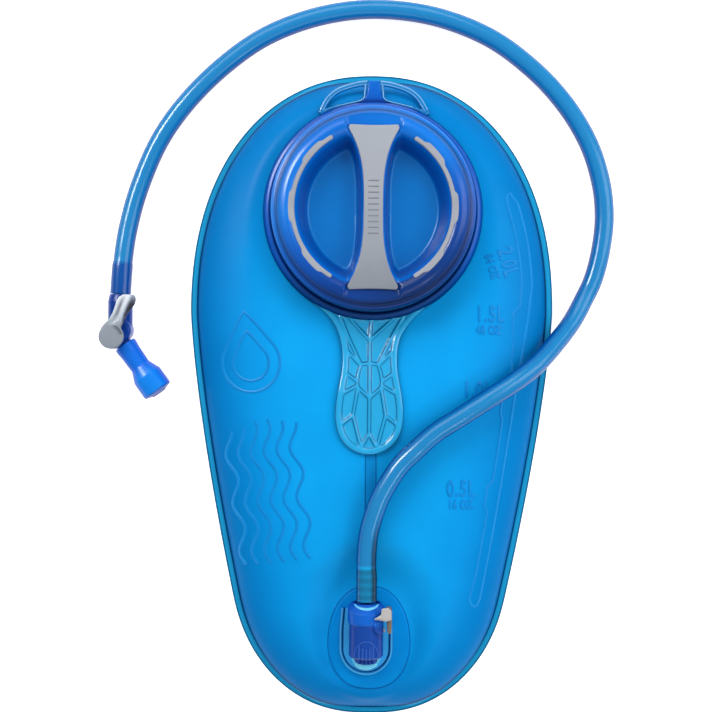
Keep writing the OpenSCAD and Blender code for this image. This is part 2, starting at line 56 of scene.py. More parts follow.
# ---- camera
cam_data = bpy.data.cameras.new("camera")
cam_data.lens = 66.4
cam_data.sensor_width = 36
cam_data.clip_start = 0.01
cam = place("camera", cam_data)
cam.location = (-0.0082, 0.02066, 0.720)
cam.rotation_euler = (0, 0, math.radians(0.525))
bpy.context.scene.camera = cam
bpy.context.scene.view_settings.view_transform = "Standard"


# ---- shared shape formulas, mm
HALF_W, HALF_L = 97.6, 172.0  # half width and half length of the reservoir
WIDEST_Y, FOOT_Y = 45, -108  # where it is widest, and where its foot starts to round
WELD_Z, WELD_W, FILM_T = 10.0, 3.8, 0.5
FRONT_Z, COLLAR_Z, OUTLET_Z = 33.0, 26.0, 25.0  # tops of the filled front and of its two level places
PORT_Y, OUTLET_Y, OVAL_Y = 97.0, -131.0, -128.2
PORT_LEVEL_R, OVAL_HALF_W, OVAL_HALF_L = 57, 21.5, 27.3  # reach of the two level places
SOCKET_X, SOCKET_Z = -1.6, 38.5  # axis of the connector


def lobe(t, p, q):
    return np.maximum(0, 1 - np.minimum(1, np.abs(t)) ** p) ** q


def smooth(t):
    t = np.clip(t, 0, 1)
    return t * t * (3 - 2 * t)


def outline(y):
    """Half width of the reservoir."""
    y = np.asarray(y, float)
    up = HALF_W * lobe((y - WIDEST_Y) / (HALF_L - WIDEST_Y), 2.2, 1 / 2.2)
    down = HALF_W - 0.0244 * np.maximum(0, WIDEST_Y - y) ** 1.37
    past = FOOT_Y - np.minimum(y, FOOT_Y)
    foot = np.where(y > FOOT_Y, 1, lobe(past / (HALF_L + FOOT_Y), 2.45, 1 / 2.45))
    return np.where(y > WIDEST_Y, up, down * foot)


def bulge(x, y, p, n):
    w = np.maximum(6, outline(y)) - WELD_W
    return lobe(x / w, p, 0.6) * lobe(y / (HALF_L - WELD_W), n, 0.6)


def front_rise(x, y):
    """Rise of the front film over the weld: filled, but level round the port and the outlet's flange."""
    x, y = np.asarray(x, float), np.asarray(y, float)
    r = np.hypot(x, y - PORT_Y)
    reach = 71 + 29 * np.clip((80 - y) / 60, 0, 1)
    port = 1 - smooth((r - PORT_LEVEL_R) / (reach - PORT_LEVEL_R))
    o = np.hypot(x / OVAL_HALF_W, (y - OVAL_Y) / OVAL_HALF_L)
    far = 1.34 + 0.7 * np.clip((y + 150) / 50, 0, 1)
    outlet = 1 - smooth((o - 1.05) / (far - 1.05))
    h = (FRONT_Z - WELD_Z - FILM_T) * bulge(x, y, 2.6, 8)
    h = h * (1 - port) + (COLLAR_Z - WELD_Z - FILM_T) * port
    return h * (1 - outlet) + (OUTLET_Z - WELD_Z - FILM_T) * outlet


def film_z(x, y):
    return WELD_Z + FILM_T + front_rise(x, y)


def rear_z(x, y):
    return WELD_Z - FILM_T - np.minimum(WELD_Z - FILM_T, (WELD_Z + 2) * bulge(x, y, 4, 12))


# ---- mesh helpers; data is (points in mm, faces)
def new_mesh(name, data):
    me = bpy.data.meshes.new(name)
    me.from_pydata([tuple(float(c) * MM for c in v) for v in data[0]], [], [tuple(f) for f in data[1]])
    me.validate()
    return me


def finish_piece(ob, mat, body, replaces=(), smooth_angle=40):
    """Gives a piece its material, shading and body, and hides the CAD nodes that it stands for."""
    me = ob.data
    me.materials.clear()
    me.materials.append(mat)
    me.shade_smooth()
    if smooth_angle is not None:
        me.set_sharp_from_angle(angle=math.radians(smooth_angle))
    if body:
        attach(ob, body)
    if replaces:
        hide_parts(*replaces)
    return ob


def add_mesh(name, data, mat, body, replaces=(), smooth_angle=40):
    return finish_piece(place(name, new_mesh(name, data)), mat, body, replaces, smooth_angle)


def skin_data(rings, closed=False, around=True, caps=False):
    """A skin over a row of rings of points; a ring of one point is a pole."""
    verts, faces, spans = [], [], []
    for ring in rings:
        spans.append(range(len(verts), len(verts) + len(ring)))
        verts += ring
    n = max(len(s) for s in spans)
    for a, b in list(zip(spans, spans[1:])) + ([(spans[-1], spans[0])] if closed else []):
        if len(a) == 1 and len(b) == 1:
            continue
        for k in range(n if around else n - 1):
            l = (k + 1) % n
            if len(a) == 1:
                faces.append((a[0], b[l], b[k]))
            elif len(b) == 1:
                faces.append((a[k], a[l], b[0]))
            else:
                faces.append((a[k], a[l], b[l], b[k]))
    if caps:
        faces += [tuple(reversed(spans[0])), tuple(spans[-1])]
    return verts, faces


def circle(r, z, n):
    return [(r * math.cos(2 * math.pi * k / n), r * math.sin(2 * math.pi * k / n), z) for k in range(n)]


def lathe_data(profile, n=160, closed=True):
    """A profile of (radius, height), turned about Z."""
    return skin_data([[(0, 0, z)] if r < 1e-6 else circle(r, z, n) for r, z in profile], closed)


def put(data, matrix):
    """The data with its points moved by a matrix."""
    return [matrix @ Vector(p) for p in data[0]], data[1]


def rounded(points, radii, steps=5):
    """A closed polyline with its corners rounded, by one radius for each corner."""
    out = []
    n = len(points)
    for i, (p, r) in enumerate(zip(points, radii)):
        a, b = points[i - 1], points[(i + 1) % n]
        p_, a_, b_ = Vector(p), Vector(a), Vector(b)
        u, v = (a_ - p_), (b_ - p_)
        if r <= 0 or u.length < 1e-9 or v.length < 1e-9:
            out.append(tuple(p))
            continue
        u.normalize()
        v.normalize()
        ang = u.angle(v)
        if ang > math.pi - 0.02:
            out.append(tuple(p))
            continue
        d = min(r / math.tan(ang / 2), 0.49 * (a_ - p_).length, 0.49 * (b_ - p_).length)
        s, e = p_ + u * d, p_ + v * d
        for k in range(steps + 1):
            t = k / steps
            q = s * (1 - t) ** 2 + p_ * 2 * t * (1 - t) + e * t * t
            out.append(tuple(q))
    return out


def curve_mesh(name, cu):
    """The mesh of a curve or a text, with its doubled points merged."""
    tmp = place(name + "_t", cu)
    bpy.context.view_layer.update()
    me = bpy.data.meshes.new_from_object(tmp.evaluated_get(bpy.context.evaluated_depsgraph_get()))
    bpy.data.objects.remove(tmp)
    me.name = name
    bm = bmesh.new()
    bm.from_mesh(me)
    bmesh.ops.remove_doubles(bm, verts=bm.verts, dist=1e-6)
    bm.to_mesh(me)
    bm.free()
    return me


def plate(name, loop, z0, z1, bevel, mat, body, replaces=(), res=3):
    """Extruded plate with rounded edges, from a closed 2D loop."""
    cu = bpy.data.curves.new(name + "_c", "CURVE")
    cu.dimensions = "2D"
    cu.fill_mode = "BOTH"
    cu.extrude = max(1e-7, ((z1 - z0) / 2 - bevel) * MM)
    cu.bevel_depth = bevel * MM
    cu.bevel_resolution = res
    cu.offset = -bevel * MM
    spline = cu.splines.new("POLY")
    spline.points.add(len(loop) - 1)
    for point, (x, y) in zip(spline.points, loop):
        point.co = (x * MM, y * MM, 0, 1)
    spline.use_cyclic_u = True
    me = curve_mesh(name, cu)
    me.transform(Matrix.Translation((0, 0, (z0 + z1) / 2 * MM)))
    return finish_piece(place(name, me), mat, body, replaces)


def spline_path(pts, steps):
    p = [Vector(q) for q in pts]
    out = []
    for i in range(len(p) - 1):
        p0, p1, p2, p3 = p[max(0, i - 1)], p[i], p[i + 1], p[min(len(p) - 1, i + 2)]
        for k in range(steps):
            t = k / steps
            out.append(0.5 * (2 * p1 + (p2 - p0) * t + (2 * p0 - 5 * p1 + 4 * p2 - p3) * t * t
                              + (3 * p1 - p0 - 3 * p2 + p3) * t ** 3))
    out.append(p[-1])
    return out


def heading(path, i, closed=False):
    """Unit direction of a path at its point i."""
    n = len(path)
    a, b = (i - 1, (i + 1) % n) if closed else (max(0, i - 1), min(n - 1, i + 1))
    return (path[b] - path[a]).normalized()


def tube_data(path, radius, sides, squash=1.0, caps=True):
    """Swept tube; radius is a number or a function of the share of the way along."""
    rings = []
    for i, p in enumerate(path):
        t = heading(path, i)
        a = Vector((0, 0, 1)).cross(t)
        if a.length < 1e-6:
            a = Vector((1, 0, 0))
        a.normalize()
        b = t.cross(a)
        r = radius(i / (len(path) - 1)) if callable(radius) else radius
        turns = [2 * math.pi * k / sides for k in range(sides)]
        rings.append([p + a * (r * math.cos(q)) + b * (r * squash * math.sin(q)) for q in turns])
    return skin_data(rings, caps=caps)


def join_data(parts):
    verts, faces = [], []
    for v, f in parts:
        base = len(verts)
        verts += list(v)
        faces += [tuple(i + base for i in q) for q in f]
    return verts, faces


def modify(ob, kind, **settings):
    m = ob.modifiers.new(kind.lower(), kind)
    for k, val in settings.items():
        setattr(m, k, val)


def apply_all(ob):
    """Applies the object's modifiers."""
    me = bpy.data.meshes.new_from_object(ob.evaluated_get(bpy.context.evaluated_depsgraph_get()))
    ob.modifiers.clear()
    old = ob.data
    ob.data = me
    bpy.data.meshes.remove(old)


def fused_mesh(name, data, voxel, relax, mat, body, replaces=()):
    """A piece whose parts run together into one smooth moulding."""
    ob = place(name, new_mesh(name, data))
    modify(ob, "REMESH", mode="VOXEL", voxel_size=voxel * MM, adaptivity=0.0)
    modify(ob, "SMOOTH", factor=0.5, iterations=relax)
    apply_all(ob)
    return finish_piece(ob, mat, body, replaces, None)


# ---- materials
def new_mat(name):
    m = bpy.data.materials.new(name)
    m.use_nodes = True
    nt = m.node_tree
    return m, nt, nt.nodes["Principled BSDF"]


def link(nt, a, b):
    nt.links.new(a, b)


def lin(r, g, b):
    def f(c):
        c /= 255
        return c / 12.92 if c <= 0.04045 else ((c + 0.055) / 1.055) ** 2.4
    return (f(r), f(g), f(b), 1)


def noise(nt, scale, detail):
    tc = nt.nodes.new("ShaderNodeTexCoord")
    n = nt.nodes.new("ShaderNodeTexNoise")
    n.inputs["Scale"].default_value = scale
    n.inputs["Detail"].default_value = detail
    n.inputs["Roughness"].default_value = 0.55
    link(nt, tc.outputs["Object"], n.inputs["Vector"])
    return n.outputs["Fac"]


def grain(nt, bsdf, scale, detail, strength, distance):
    """A fine bump all over."""
    b = nt.nodes.new("ShaderNodeBump")
    b.inputs["Strength"].default_value = strength
    b.inputs["Distance"].default_value = distance
    link(nt, noise(nt, scale, detail), b.inputs["Height"])
    link(nt, b.outputs["Normal"], bsdf.inputs["Normal"])


def ramp(nt, fac, stops):
    r = nt.nodes.new("ShaderNodeValToRGB")
    els = r.color_ramp.elements
    while len(els) < len(stops):
        els.new(0.5)
    for e, (pos, col) in zip(els, stops):
        e.position = pos
        e.color = col
    link(nt, fac, r.inputs["Fac"])
    return r.outputs["Color"]


def cloud(nt, scale, detail, low, high, start=0.3):
    """A slow change between two colours over the surface."""
    return ramp(nt, noise(nt, scale, detail), [(start, low), (1 - start, high)])


def times(nt, a, b):
    """The product of two colours."""
    m = nt.nodes.new("ShaderNodeMix")
    m.data_type = "RGBA"
    m.blend_type = "MULTIPLY"
    m.inputs[0].default_value = 1.0
    link(nt, a, m.inputs[6])
    link(nt, b, m.inputs[7])
    return m.outputs[2]


def attribute(nt, name):
    at = nt.nodes.new("ShaderNodeAttribute")
    at.attribute_name = name
    return at


def surface(nt, b, colour, rough, spec=None, through=None):
    """Colour, roughness, specular level and transmission of a shader."""
    link(nt, colour, b.inputs["Base Color"])
    b.inputs["Roughness"].default_value = rough
    if spec is not None:
        b.inputs["Specular IOR Level"].default_value = spec
    if through is not None:
        b.inputs["Transmission Weight"].default_value = through


def film_material(name):
    """Film whose tone follows its distance from the outline: pale flange, dark weld, and sides painted darker
    as shade where the film slopes down to the weld.
    """
    m, nt, b = new_mat(name)
    # past the weld the stops darken toward the outline: painted shade on the film's sloping sides
    stops = [(0.0, lin(4, 78, 118)), (0.012, lin(8, 106, 152)), (0.022, lin(36, 164, 214)),
             (0.058, lin(28, 156, 214)), (0.066, lin(0, 60, 108)), (0.078, lin(0, 70, 124)),
             (0.09, lin(0, 109, 180)), (0.12, lin(0, 121, 194)), (0.36, lin(4, 136, 211)),
             (0.62, lin(8, 154, 230)), (1.0, lin(14, 166, 240))]
    tone = ramp(nt, attribute(nt, "edge").outputs["Fac"], stops)
    colour = times(nt, tone, cloud(nt, 38, 3, (0.93, 0.95, 0.97, 1), (1.04, 1.03, 1.02, 1)))
    surface(nt, b, colour, 0.36, 0.035)
    grain(nt, b, 1400, 2, 0.10, 0.0002)
    return m


def gloss_plastic(name, light, dark, rough, spec):
    m, nt, b = new_mat(name)
    surface(nt, b, cloud(nt, 60, 3, lin(*dark), lin(*light), 0.25), rough, spec)
    grain(nt, b, 900, 2, 0.04, 0.0001)
    return m


def painted_plastic(name, rough, spec, through=0.0):
    """Glossy plastic coloured by the mesh's stored tint, which holds painted light and shade along with the
    plastic's colour.
    """
    m, nt, b = new_mat(name)
    lit_tint = attribute(nt, "lit_tint").outputs["Color"]
    colour = times(nt, lit_tint, cloud(nt, 60, 3, (0.92, 0.93, 0.95, 1), (1, 1, 1, 1), 0.25))
    surface(nt, b, colour, rough, spec, through)
    grain(nt, b, 900, 2, 0.04, 0.0001)
    return m


def mix(a, b, k):
    """Colour a share k of the way from a to b."""
    return tuple(p * (1 - k) + q * k for p, q in zip(a, b))


def between(t, stops):
    """Colour or number at t along given stops."""
    for (a, u), (b, v) in zip(stops, stops[1:]):
        if t <= b:
            k = min(1, max(0, (t - a) / (b - a)))
            return tuple(p + (q - p) * k for p, q in zip(u, v))
    return stops[-1][1]


def paint(ob, tone):
    """Stores a tint with painted light and shade in it on every vertex; tone gives an sRGB colour for a point
    in mm and its normal.
    """
    at = ob.data.attributes.new("lit_tint", "FLOAT_COLOR", "POINT")
    flat = []
    for w in ob.data.vertices:
        flat += lin(*tone(w.co.x / MM, w.co.y / MM, w.co.z / MM, w.normal))
    at.data.foreach_set("color", flat)


def clear_material(name, lit_tint=(205, 236, 250), side=(20, 90, 150), low=0.25, high=0.75, through=0.85):
    """Clear soft plastic; its steep sides are painted deeper blue, as shade, by their object-space normal."""
    m, nt, b = new_mat(name)
    tc = nt.nodes.new("ShaderNodeTexCoord")
    sep = nt.nodes.new("ShaderNodeSeparateXYZ")
    link(nt, tc.outputs["Normal"], sep.inputs[0])
    # steep faces take the side colour and upward faces the tint: painted shade by facing
    tone = ramp(nt, sep.outputs[2], [(0.0, lin(*side)), (low, lin(*side)), (high, lin(*lit_tint))])
    colour = times(nt, tone, cloud(nt, 120, 3, (0.94, 0.96, 0.98, 1), (1, 1, 1, 1)))
    surface(nt, b, colour, 0.10, through=through)
    b.inputs["IOR"].default_value = 1.40
    grain(nt, b, 500, 2, 0.04, 0.0002)
    return m


def soft_material(name, light, dark, rough=0.5, scale=1800, strength=0.16, spec=0.35):
    m, nt, b = new_mat(name)
    surface(nt, b, cloud(nt, 90, 4, lin(*dark), lin(*light)), rough, spec)
    grain(nt, b, scale, 3, strength, 0.0002)
    return m


def metal_material(name):
    m, nt, b = new_mat(name)
    b.inputs["Metallic"].default_value = 1
    surface(nt, b, cloud(nt, 700, 2, lin(165, 168, 172), lin(205, 207, 210)), 0.3)
    return m


film_mat = film_material("film_blue")
film_back_mat = film_material("film_blue_back")
cap_mat = painted_plastic("cap_blue", 0.24, 0.26)
thread_mat = gloss_plastic("thread_blue", (0, 92, 186), (0, 82, 174), 0.24, 0.35)
collar_mat = painted_plastic("collar_blue", 0.24, 0.22)
plug_mat = painted_plastic("connector_blue", 0.26, 0.12)
barb_mat = gloss_plastic("barb_blue", (8, 128, 196), (4, 108, 176), 0.3, 0.3)
valve_mat = gloss_plastic("valve_blue", (2, 62, 152), (0, 52, 140), 0.26, 0.2)
silicone_mat = painted_plastic("bite_silicone", 0.3, 0.25)
clear_mat = clear_material("clear_tpu")
bar_mat = painted_plastic("grip_bar_grey", 0.5, 0.25)
grip_mat = soft_material("grip_grey", (167, 170, 177), (158, 161, 169), spec=0.25)
lever_mat = painted_plastic("lever_grey", 0.38, 0.35)
seal_mat = soft_material("seal_pale", (225, 230, 235), (215, 221, 228), 0.5)
white_mat = soft_material("acetal_white", (232, 235, 238), (224, 228, 232), 0.35, 900, 0.04)
black_mat = soft_material("seal_black", (30, 30, 32), (22, 22, 24), 0.45)
steel_mat = metal_material("spring_steel")
mark_mat = soft_material("film_mark", (6, 144, 220), (4, 136, 212), 0.34, 1400, 0.08, 0.12)
line_mat = soft_material("weld_line", (2, 116, 190), (1, 108, 180), 0.36, 1400, 0.08, 0.1)
strip_mat = soft_material("weld_strip", (10, 148, 222), (6, 140, 214), 0.34, 1400, 0.08, 0.06)
base_mat = soft_material("outlet_base_blue", (0, 146, 226), (0, 138, 218), 0.34, 1200, 0.08, 0.06)
web_mat = soft_material("web_blue", (4, 110, 190), (2, 100, 180), 0.4)
tick_mat = soft_material("grip_tick", (128, 133, 141), (118, 123, 131), 0.5)
slit_mat = soft_material("slit_blue", (4, 60, 140), (2, 52, 130), 0.5)
button_mat = soft_material("button_grey", (196, 192, 188), (178, 174, 170), 0.4, 900, 0.05)
# a darker copy of the button's grey: painted shade on the leg down its side
leg_shade_mat = soft_material("button_leg_shaded_grey", (128, 112, 98), (116, 102, 90), 0.45, 900, 0.05)
# pale cyan for the painted highlight on the socket mouth's chamfer
lip_highlight_mat = soft_material("mouth_lip_highlight", (110, 208, 252), (92, 196, 246), 0.25, 900, 0.05, 0.5)
# these clear materials paint their steep sides darker as shade
eye_mat = clear_material("eye_clear", (34, 150, 222), (4, 96, 172), 0.3, 0.85, 0.3)
# pale colour for the painted highlights on the clear straps
glint_mat = soft_material("clear_edge_glint", (150, 215, 246), (130, 202, 240), 0.2, 900, 0.04, 0.6)
handle_mat = clear_material("handle_clear", (44, 196, 255), (0, 54, 112), 0.5, 0.9, 0.25)
cradle_mat = clear_material("cradle_clear", (90, 200, 252), (10, 124, 204), 0.2, 0.8, 0.1)
pool_mat = clear_material("cradle_pool", (52, 168, 236), (20, 130, 210), 0.2, 0.8, 0.0)
swell_mat = clear_material("cradle_swell", (120, 226, 255), (50, 176, 244), 0.2, 0.8, 0.0)
hose_mat = painted_plastic("hose_blue", 0.18, 0.3, 0.1)

# ---- drink hose: route in mm, as in part.scad
ROUTE = [
    (-1.6, -106.4, 38.5), (-1.6, -96, 38.5), (-1.8, -84, 38.9), (-1, -73, 39.4), (1, -64, 40.1),
    (4.4, -54, 40.8), (9, -45, 41.2), (15, -36, 41.3), (23, -28, 41.2), (33, -19, 40.2), (47, -10, 39),
    (61, -1, 37), (75, 8, 33.5), (87, 17, 27.5), (98, 28, 19), (108, 40, 11), (115, 52, 6.6),
    (120.6, 64, 5.4), (124.5, 80, 5.4), (126.2, 98, 5.4), (124, 117, 5.4), (117, 138, 5.4), (104, 159, 5.4),
    (86, 178, 5.4), (62, 195, 5.4), (32, 206, 5.4), (0, 209.4, 5.4), (-30, 205.3, 5.4),
    (-58, 194.6, 5.4), (-81, 178.5, 5.4), (-101, 158.5, 5.4), (-116, 137, 5.4),
    (-126.6, 112, 5.5), (-132.4, 90, 6.4), (-135, 71, 7.8), (-136.1, 53, 8.3)]
HOSE_D, HOSE_BORE = 10.4, 7.0
hose_line = spline_path(ROUTE, 8)
arc = [0.0]
for start, stop in zip(hose_line, hose_line[1:]):
    arc.append(arc[-1] + (stop - start).length)
hose_len = arc[-1]


def hose_radius(t):
    """Outer radius in mm: the hose stretches over the barbs at both ends."""
    s = arc[min(len(arc) - 1, int(round(t * (len(arc) - 1))))]
    r = HOSE_D / 2
    r += 0.25 * (1 - smooth((s - 13) / 4)) + 0.10 * (math.sin(2 * math.pi * s / 3.4) if s < 13 else 0)
    e = hose_len - s
    r += 0.38 * (1 - smooth((e - 17.2) / 0.8))
    return float(r)


def open_pipe(path, outer, inner, sides):
    """A tube with a bore, and a ring that closes each end."""
    vo, fo = tube_data(path, outer, sides, caps=False)
    vi, fi = tube_data(path, inner, sides, caps=False)
    v, f = join_data([(vo, fo), (vi, [q[::-1] for q in fi])])
    for a, flip in ((0, False), ((len(path) - 1) * sides, True)):
        b = len(vo) + a
        for k in range(sides):
            l = (k + 1) % sides
            q = (a + k, b + k, b + l, a + l)
            f.append(q[::-1] if flip else q)
    return v, f


hose_data = open_pipe(hose_line, hose_radius, HOSE_BORE / 2, 32)
hose = add_mesh("drink_hose_tube", hose_data, hose_mat, "hose_line", ("drink_hose",), 60)


def hose_tone_and_shade(x, y, z, n):
    """Film-blue tube with its sides painted deeper as shade, a painted shade down its right side near the
    outlet, rings over the outlet's barb and the valve's navy barb inside.
    """
    # lighter where the hose faces up and darker on its sides: painted shade by facing
    up = between(n.z, [(-1, (2, 56, 126)), (0.12, (2, 58, 130)), (0.42, (4, 84, 164)), (0.66, (14, 122, 194)),
                       (0.88, (28, 142, 206)), (1, (32, 144, 208))])
    # painted shade down the hose's right side toward the outlet
    shade = float(smooth((n.x - 0.3) / 0.4)) * float(smooth((-58 - y) / 25)) * 0.5
    up = tuple(c * (1 - shade) for c in up)
    if x > -20 and -107 < y < -88:
        past = -88.6 - y
        ring = 0.94 + 0.09 * math.cos(2 * math.pi * past / 4.4) if past > 0.6 else 1.3
        return tuple(min(255, c * ring * k) for c, k in zip(up, (0.5, 0.98, 0.92)))
    if x < -130 and y < 71.5:
        navy = (2, 66 + 22 * max(0, n.z), 150 + 24 * max(0, n.z))
        return mix(up, navy, float(smooth((71.5 - y) / 2.5)))
    return up


paint(hose, hose_tone_and_shade)

# ---- film
edge_steps = [0, .2, .45, .8, 1.3, 2, 2.7, 3.3, 3.8, 4.2, 4.8, 5.6, 6.8, 8.2, 10, 12, 14.2, 17, 20]
mid_rows = [HALF_L - 20 - 2.0 * k for k in range(1, 153) if HALF_L - 20 - 2.0 * k > -HALF_L + 20.5]
ROWS = [HALF_L - s for s in edge_steps] + mid_rows + [-HALF_L + s for s in reversed(edge_steps)]


def columns(w):
    k = min(1.0, w / 42)
    right = [w - s * k for s in edge_steps]
    inner = list(np.linspace(right[-1], 0, 42)[1:])
    half = right + inner
    return [-x for x in half] + list(reversed(half[:-1]))


def film_grid():
    pts = []
    for y in ROWS:
        w = max(1.2, float(outline(y)))
        pts.append([(x, y) for x in columns(w)])
    return np.array(pts)


grid = film_grid()
rows_n, cols_n = grid.shape[:2]
# the outline turns sharply at both ends, so its points crowd together there
tip_y = HALF_L - 3 * np.linspace(0, 1, 160) ** 3
curve_y = np.concatenate([tip_y, np.linspace(HALF_L - 3, -HALF_L + 3, 700), -tip_y])
curve = np.stack([outline(curve_y), curve_y], 1)


def edge_distance(x, y):
    """Distance in mm inward from the outline, up to 60."""
    p = np.stack([np.abs(x).ravel(), y.ravel()], 1)
    best = np.full(len(p), 60.0)
    for s in range(0, len(p), 4000):
        d = np.sqrt(((p[s:s + 4000, None, :] - curve[None, :, :]) ** 2).sum(2)).min(1)
        best[s:s + 4000] = np.minimum(best[s:s + 4000], d)
    return best.reshape(x.shape)


grid_edge = edge_distance(grid[..., 0], grid[..., 1])


def film_skin(name, z, mat, replaces, flip):
    idx = np.arange(rows_n * cols_n).reshape(rows_n, cols_n)
    verts = np.concatenate([grid.reshape(-1, 2), z.reshape(-1, 1)], 1)
    a, b, c, d = (q.ravel() for q in (idx[:-1, :-1], idx[:-1, 1:], idx[1:, 1:], idx[1:, :-1]))
    q = np.stack([a, b, c, d] if flip else [a, d, c, b], 1)
    ob = place(name, new_mesh(name, (verts, q.tolist())))
    at = ob.data.attributes.new("edge", "FLOAT", "POINT")
    at.data.foreach_set("value", (grid_edge.ravel() / 50).astype(np.float32))
    modify(ob, "SOLIDIFY", thickness=0.45 * MM, offset=-1.0, use_rim=True)
    apply_all(ob)
    return finish_piece(ob, mat, "reservoir", replaces, None)


gx, gy = grid[..., 0], grid[..., 1]
film_skin("front_film_skin", film_z(gx, gy), film_mat, ("front_film",), False)
film_skin("rear_film_skin", rear_z(gx, gy), film_back_mat, ("rear_film",), True)


# raised or sunk lines on the front film
def on_film(x, y, lift=0.0):
    return Vector((x, y, float(film_z(x, y)) + lift))


def ribbon_data(pts, width, height, closed=False):
    """A low rounded bead that follows the film."""
    line = [Vector((p[0], p[1], 0)) for p in pts]
    section = [(-0.5, -0.15), (-0.32, 0.6), (-0.12, 1.0), (0.12, 1.0), (0.32, 0.6), (0.5, -0.15)]
    rings = []
    for i, p in enumerate(line):
        t = heading(line, i, closed)
        across = [(p + Vector((-t.y, t.x, 0)) * (u * width), h * height) for u, h in section]
        rings.append([on_film(q.x, q.y, h) for q, h in across])
    return skin_data(rings, closed, around=False)


def resample(pts, step, closed=False):
    p = [Vector((a, b, 0)) for a, b in pts]
    if closed:
        p.append(p[0])
    out = []
    for a, b in zip(p, p[1:]):
        n = max(1, int(math.ceil((b - a).length / step)))
        for k in range(n):
            q = a.lerp(b, k / n)
            out.append((q.x, q.y))
    if not closed:
        out.append((p[-1].x, p[-1].y))
    return out


# ---- marks pressed into the front film
def inset(d, y):
    """A point d mm inside the right edge of the reservoir."""
    return (float(outline(y)) - d, y)


def strip_lines():
    """The volume window: a long rounded strip whose inner side steps in at each volume."""
    right = [(106, 14.2), (103, 12.2), (60, 11.9), (48, 13.6), (20, 15.8), (0, 17), (-34, 16.8), (-70, 16),
             (-108, 15.2)]
    left = [(105, 17.6), (100, 18.4), (62, 17.6), (48, 18.8), (44, 22.4), (34, 22.2), (31, 21.2), (3, 20.4),
            (-1, 23.8), (-9, 23.4), (-12, 21.9), (-45, 21.3), (-49, 23.8), (-58, 23.4), (-61, 21.3),
            (-96, 20.4), (-107, 21.2)]

    def side(stops):
        pts = []
        for (y0, d0), (y1, d1) in zip(stops, stops[1:]):
            n = max(1, int((y0 - y1) / 3))
            pts += [inset(d0 + (d1 - d0) * k / n, y0 + (y1 - y0) * k / n) for k in range(n)]
        return pts + [inset(stops[-1][1], stops[-1][0])]
    outer, inner = side(right), side(left)
    lo = [(outer[-1][0] - 1.0, -110.6), (outer[-1][0] - 2.8, -111.8), (inner[-1][0] + 1.2, -110.6)]
    hi = [(inner[0][0] + 0.8, 107.2), (inner[0][0] + 2.2, 108), (outer[0][0] - 0.8, 107.6)]
    return outer + lo + inner[::-1] + hi


def motif_lines():
    """A plain drop over rows of waves, down the left side, as (points, closed)."""
    c, s = math.cos(math.radians(98.5)), math.sin(math.radians(98.5))
    ox, oy = -58.0, -21.0
    radius, up = 15.5, 38

    def turned(u, v):
        return (ox + c * u - s * v, oy + s * u + c * v)
    drop = []
    for k in range(48):
        a = 2 * math.pi * k / 48
        u, v = radius * math.cos(a), radius * math.sin(a)
        if u > 0:
            off = abs(a if a < math.pi else a - 2 * math.pi)
            u *= 1 + 0.75 * max(0, 1 - off / 0.9) ** 1.3
        drop.append(turned(u + up, v))
    mx, my = turned(up, 0)
    lines = [(drop, True), ([(mx + (x - mx) * 0.62, my + (y - my) * 0.62) for x, y in drop], True)]
    for row in (-17, -10, -3, 4, 11, 18):
        x0, x1 = -68, 8 - abs(row) * 0.25
        along = [x0 + (x1 - x0) * k / 44 for k in range(45)]
        wave = [turned(u, row + 2.6 * math.sin(2 * math.pi * (u - x0) / 26)) for u in along]
        lines.append((wave, False))
    return lines


film_marks = [ribbon_data(resample(strip_lines(), 1.6, True), 1.5, 0.34, True)]
for line, closed in motif_lines():
    film_marks.append(ribbon_data(resample(line, 1.5, closed), 1.9, 0.34, closed))


def oval(w, l, n=120):
    """Egg-shaped loop of the outlet's flange, a little square and heaviest toward the foot."""
    out = []
    for k in range(n):
        a = 2 * math.pi * k / n
        c, q = math.cos(a), math.sin(a)
        x = w / 2 * math.copysign(abs(c) ** 0.86, c) * (1 - 0.07 * q)
        out.append((x, OVAL_Y + l / 2 * math.copysign(abs(q) ** 0.94, q)))
    return out


add_mesh("film_pressed_marks", join_data(film_marks), mark_mat, "reservoir", (), 60)
add_mesh("outlet_weld_line", ribbon_data(oval(43.4, 54.6), 0.6, 0.22, True), line_mat, "reservoir",
         (), 60)
for tag, x, width, height, mat in (("left", -2.7, 0.9, 0.28, line_mat), ("right", 2.7, 0.9, 0.28, line_mat),
                                   ("middle", 0, 4.4, 0.22, strip_mat)):
    weld = ribbon_data([(x, y) for y in np.linspace(38, -103, 90)], width, height)
    add_mesh("baffle_weld_" + tag, weld, mat, "reservoir", (), 60)


def number_mesh(name, text, size, at, turn=0):
    """A plain volume number, raised on the film."""
    cu = bpy.data.curves.new(name, "FONT")
    cu.body = text
    cu.size = size * MM
    cu.align_x, cu.align_y = "CENTER", "CENTER"
    cu.extrude = 0.25 * MM
    cu.bevel_depth = 0.2 * MM
    cu.offset = 0.1 * MM
    cu.bevel_resolution = 1
    cu.space_character = 1.12
    me = curve_mesh(name, cu)
    m = Matrix.Rotation(math.radians(turn), 4, "Z") @ Matrix.Diagonal((0.8, 1.16, 1, 1))
    for w in me.vertices:
        q = m @ w.co
        x, y = q.x / MM + at[0], q.y / MM + at[1]
        w.co = Vector((x, y, float(film_z(x, y)) + q.z / MM * 0.8)) * MM
    finish_piece(place(name, me), mark_mat, "reservoir", (), 30)


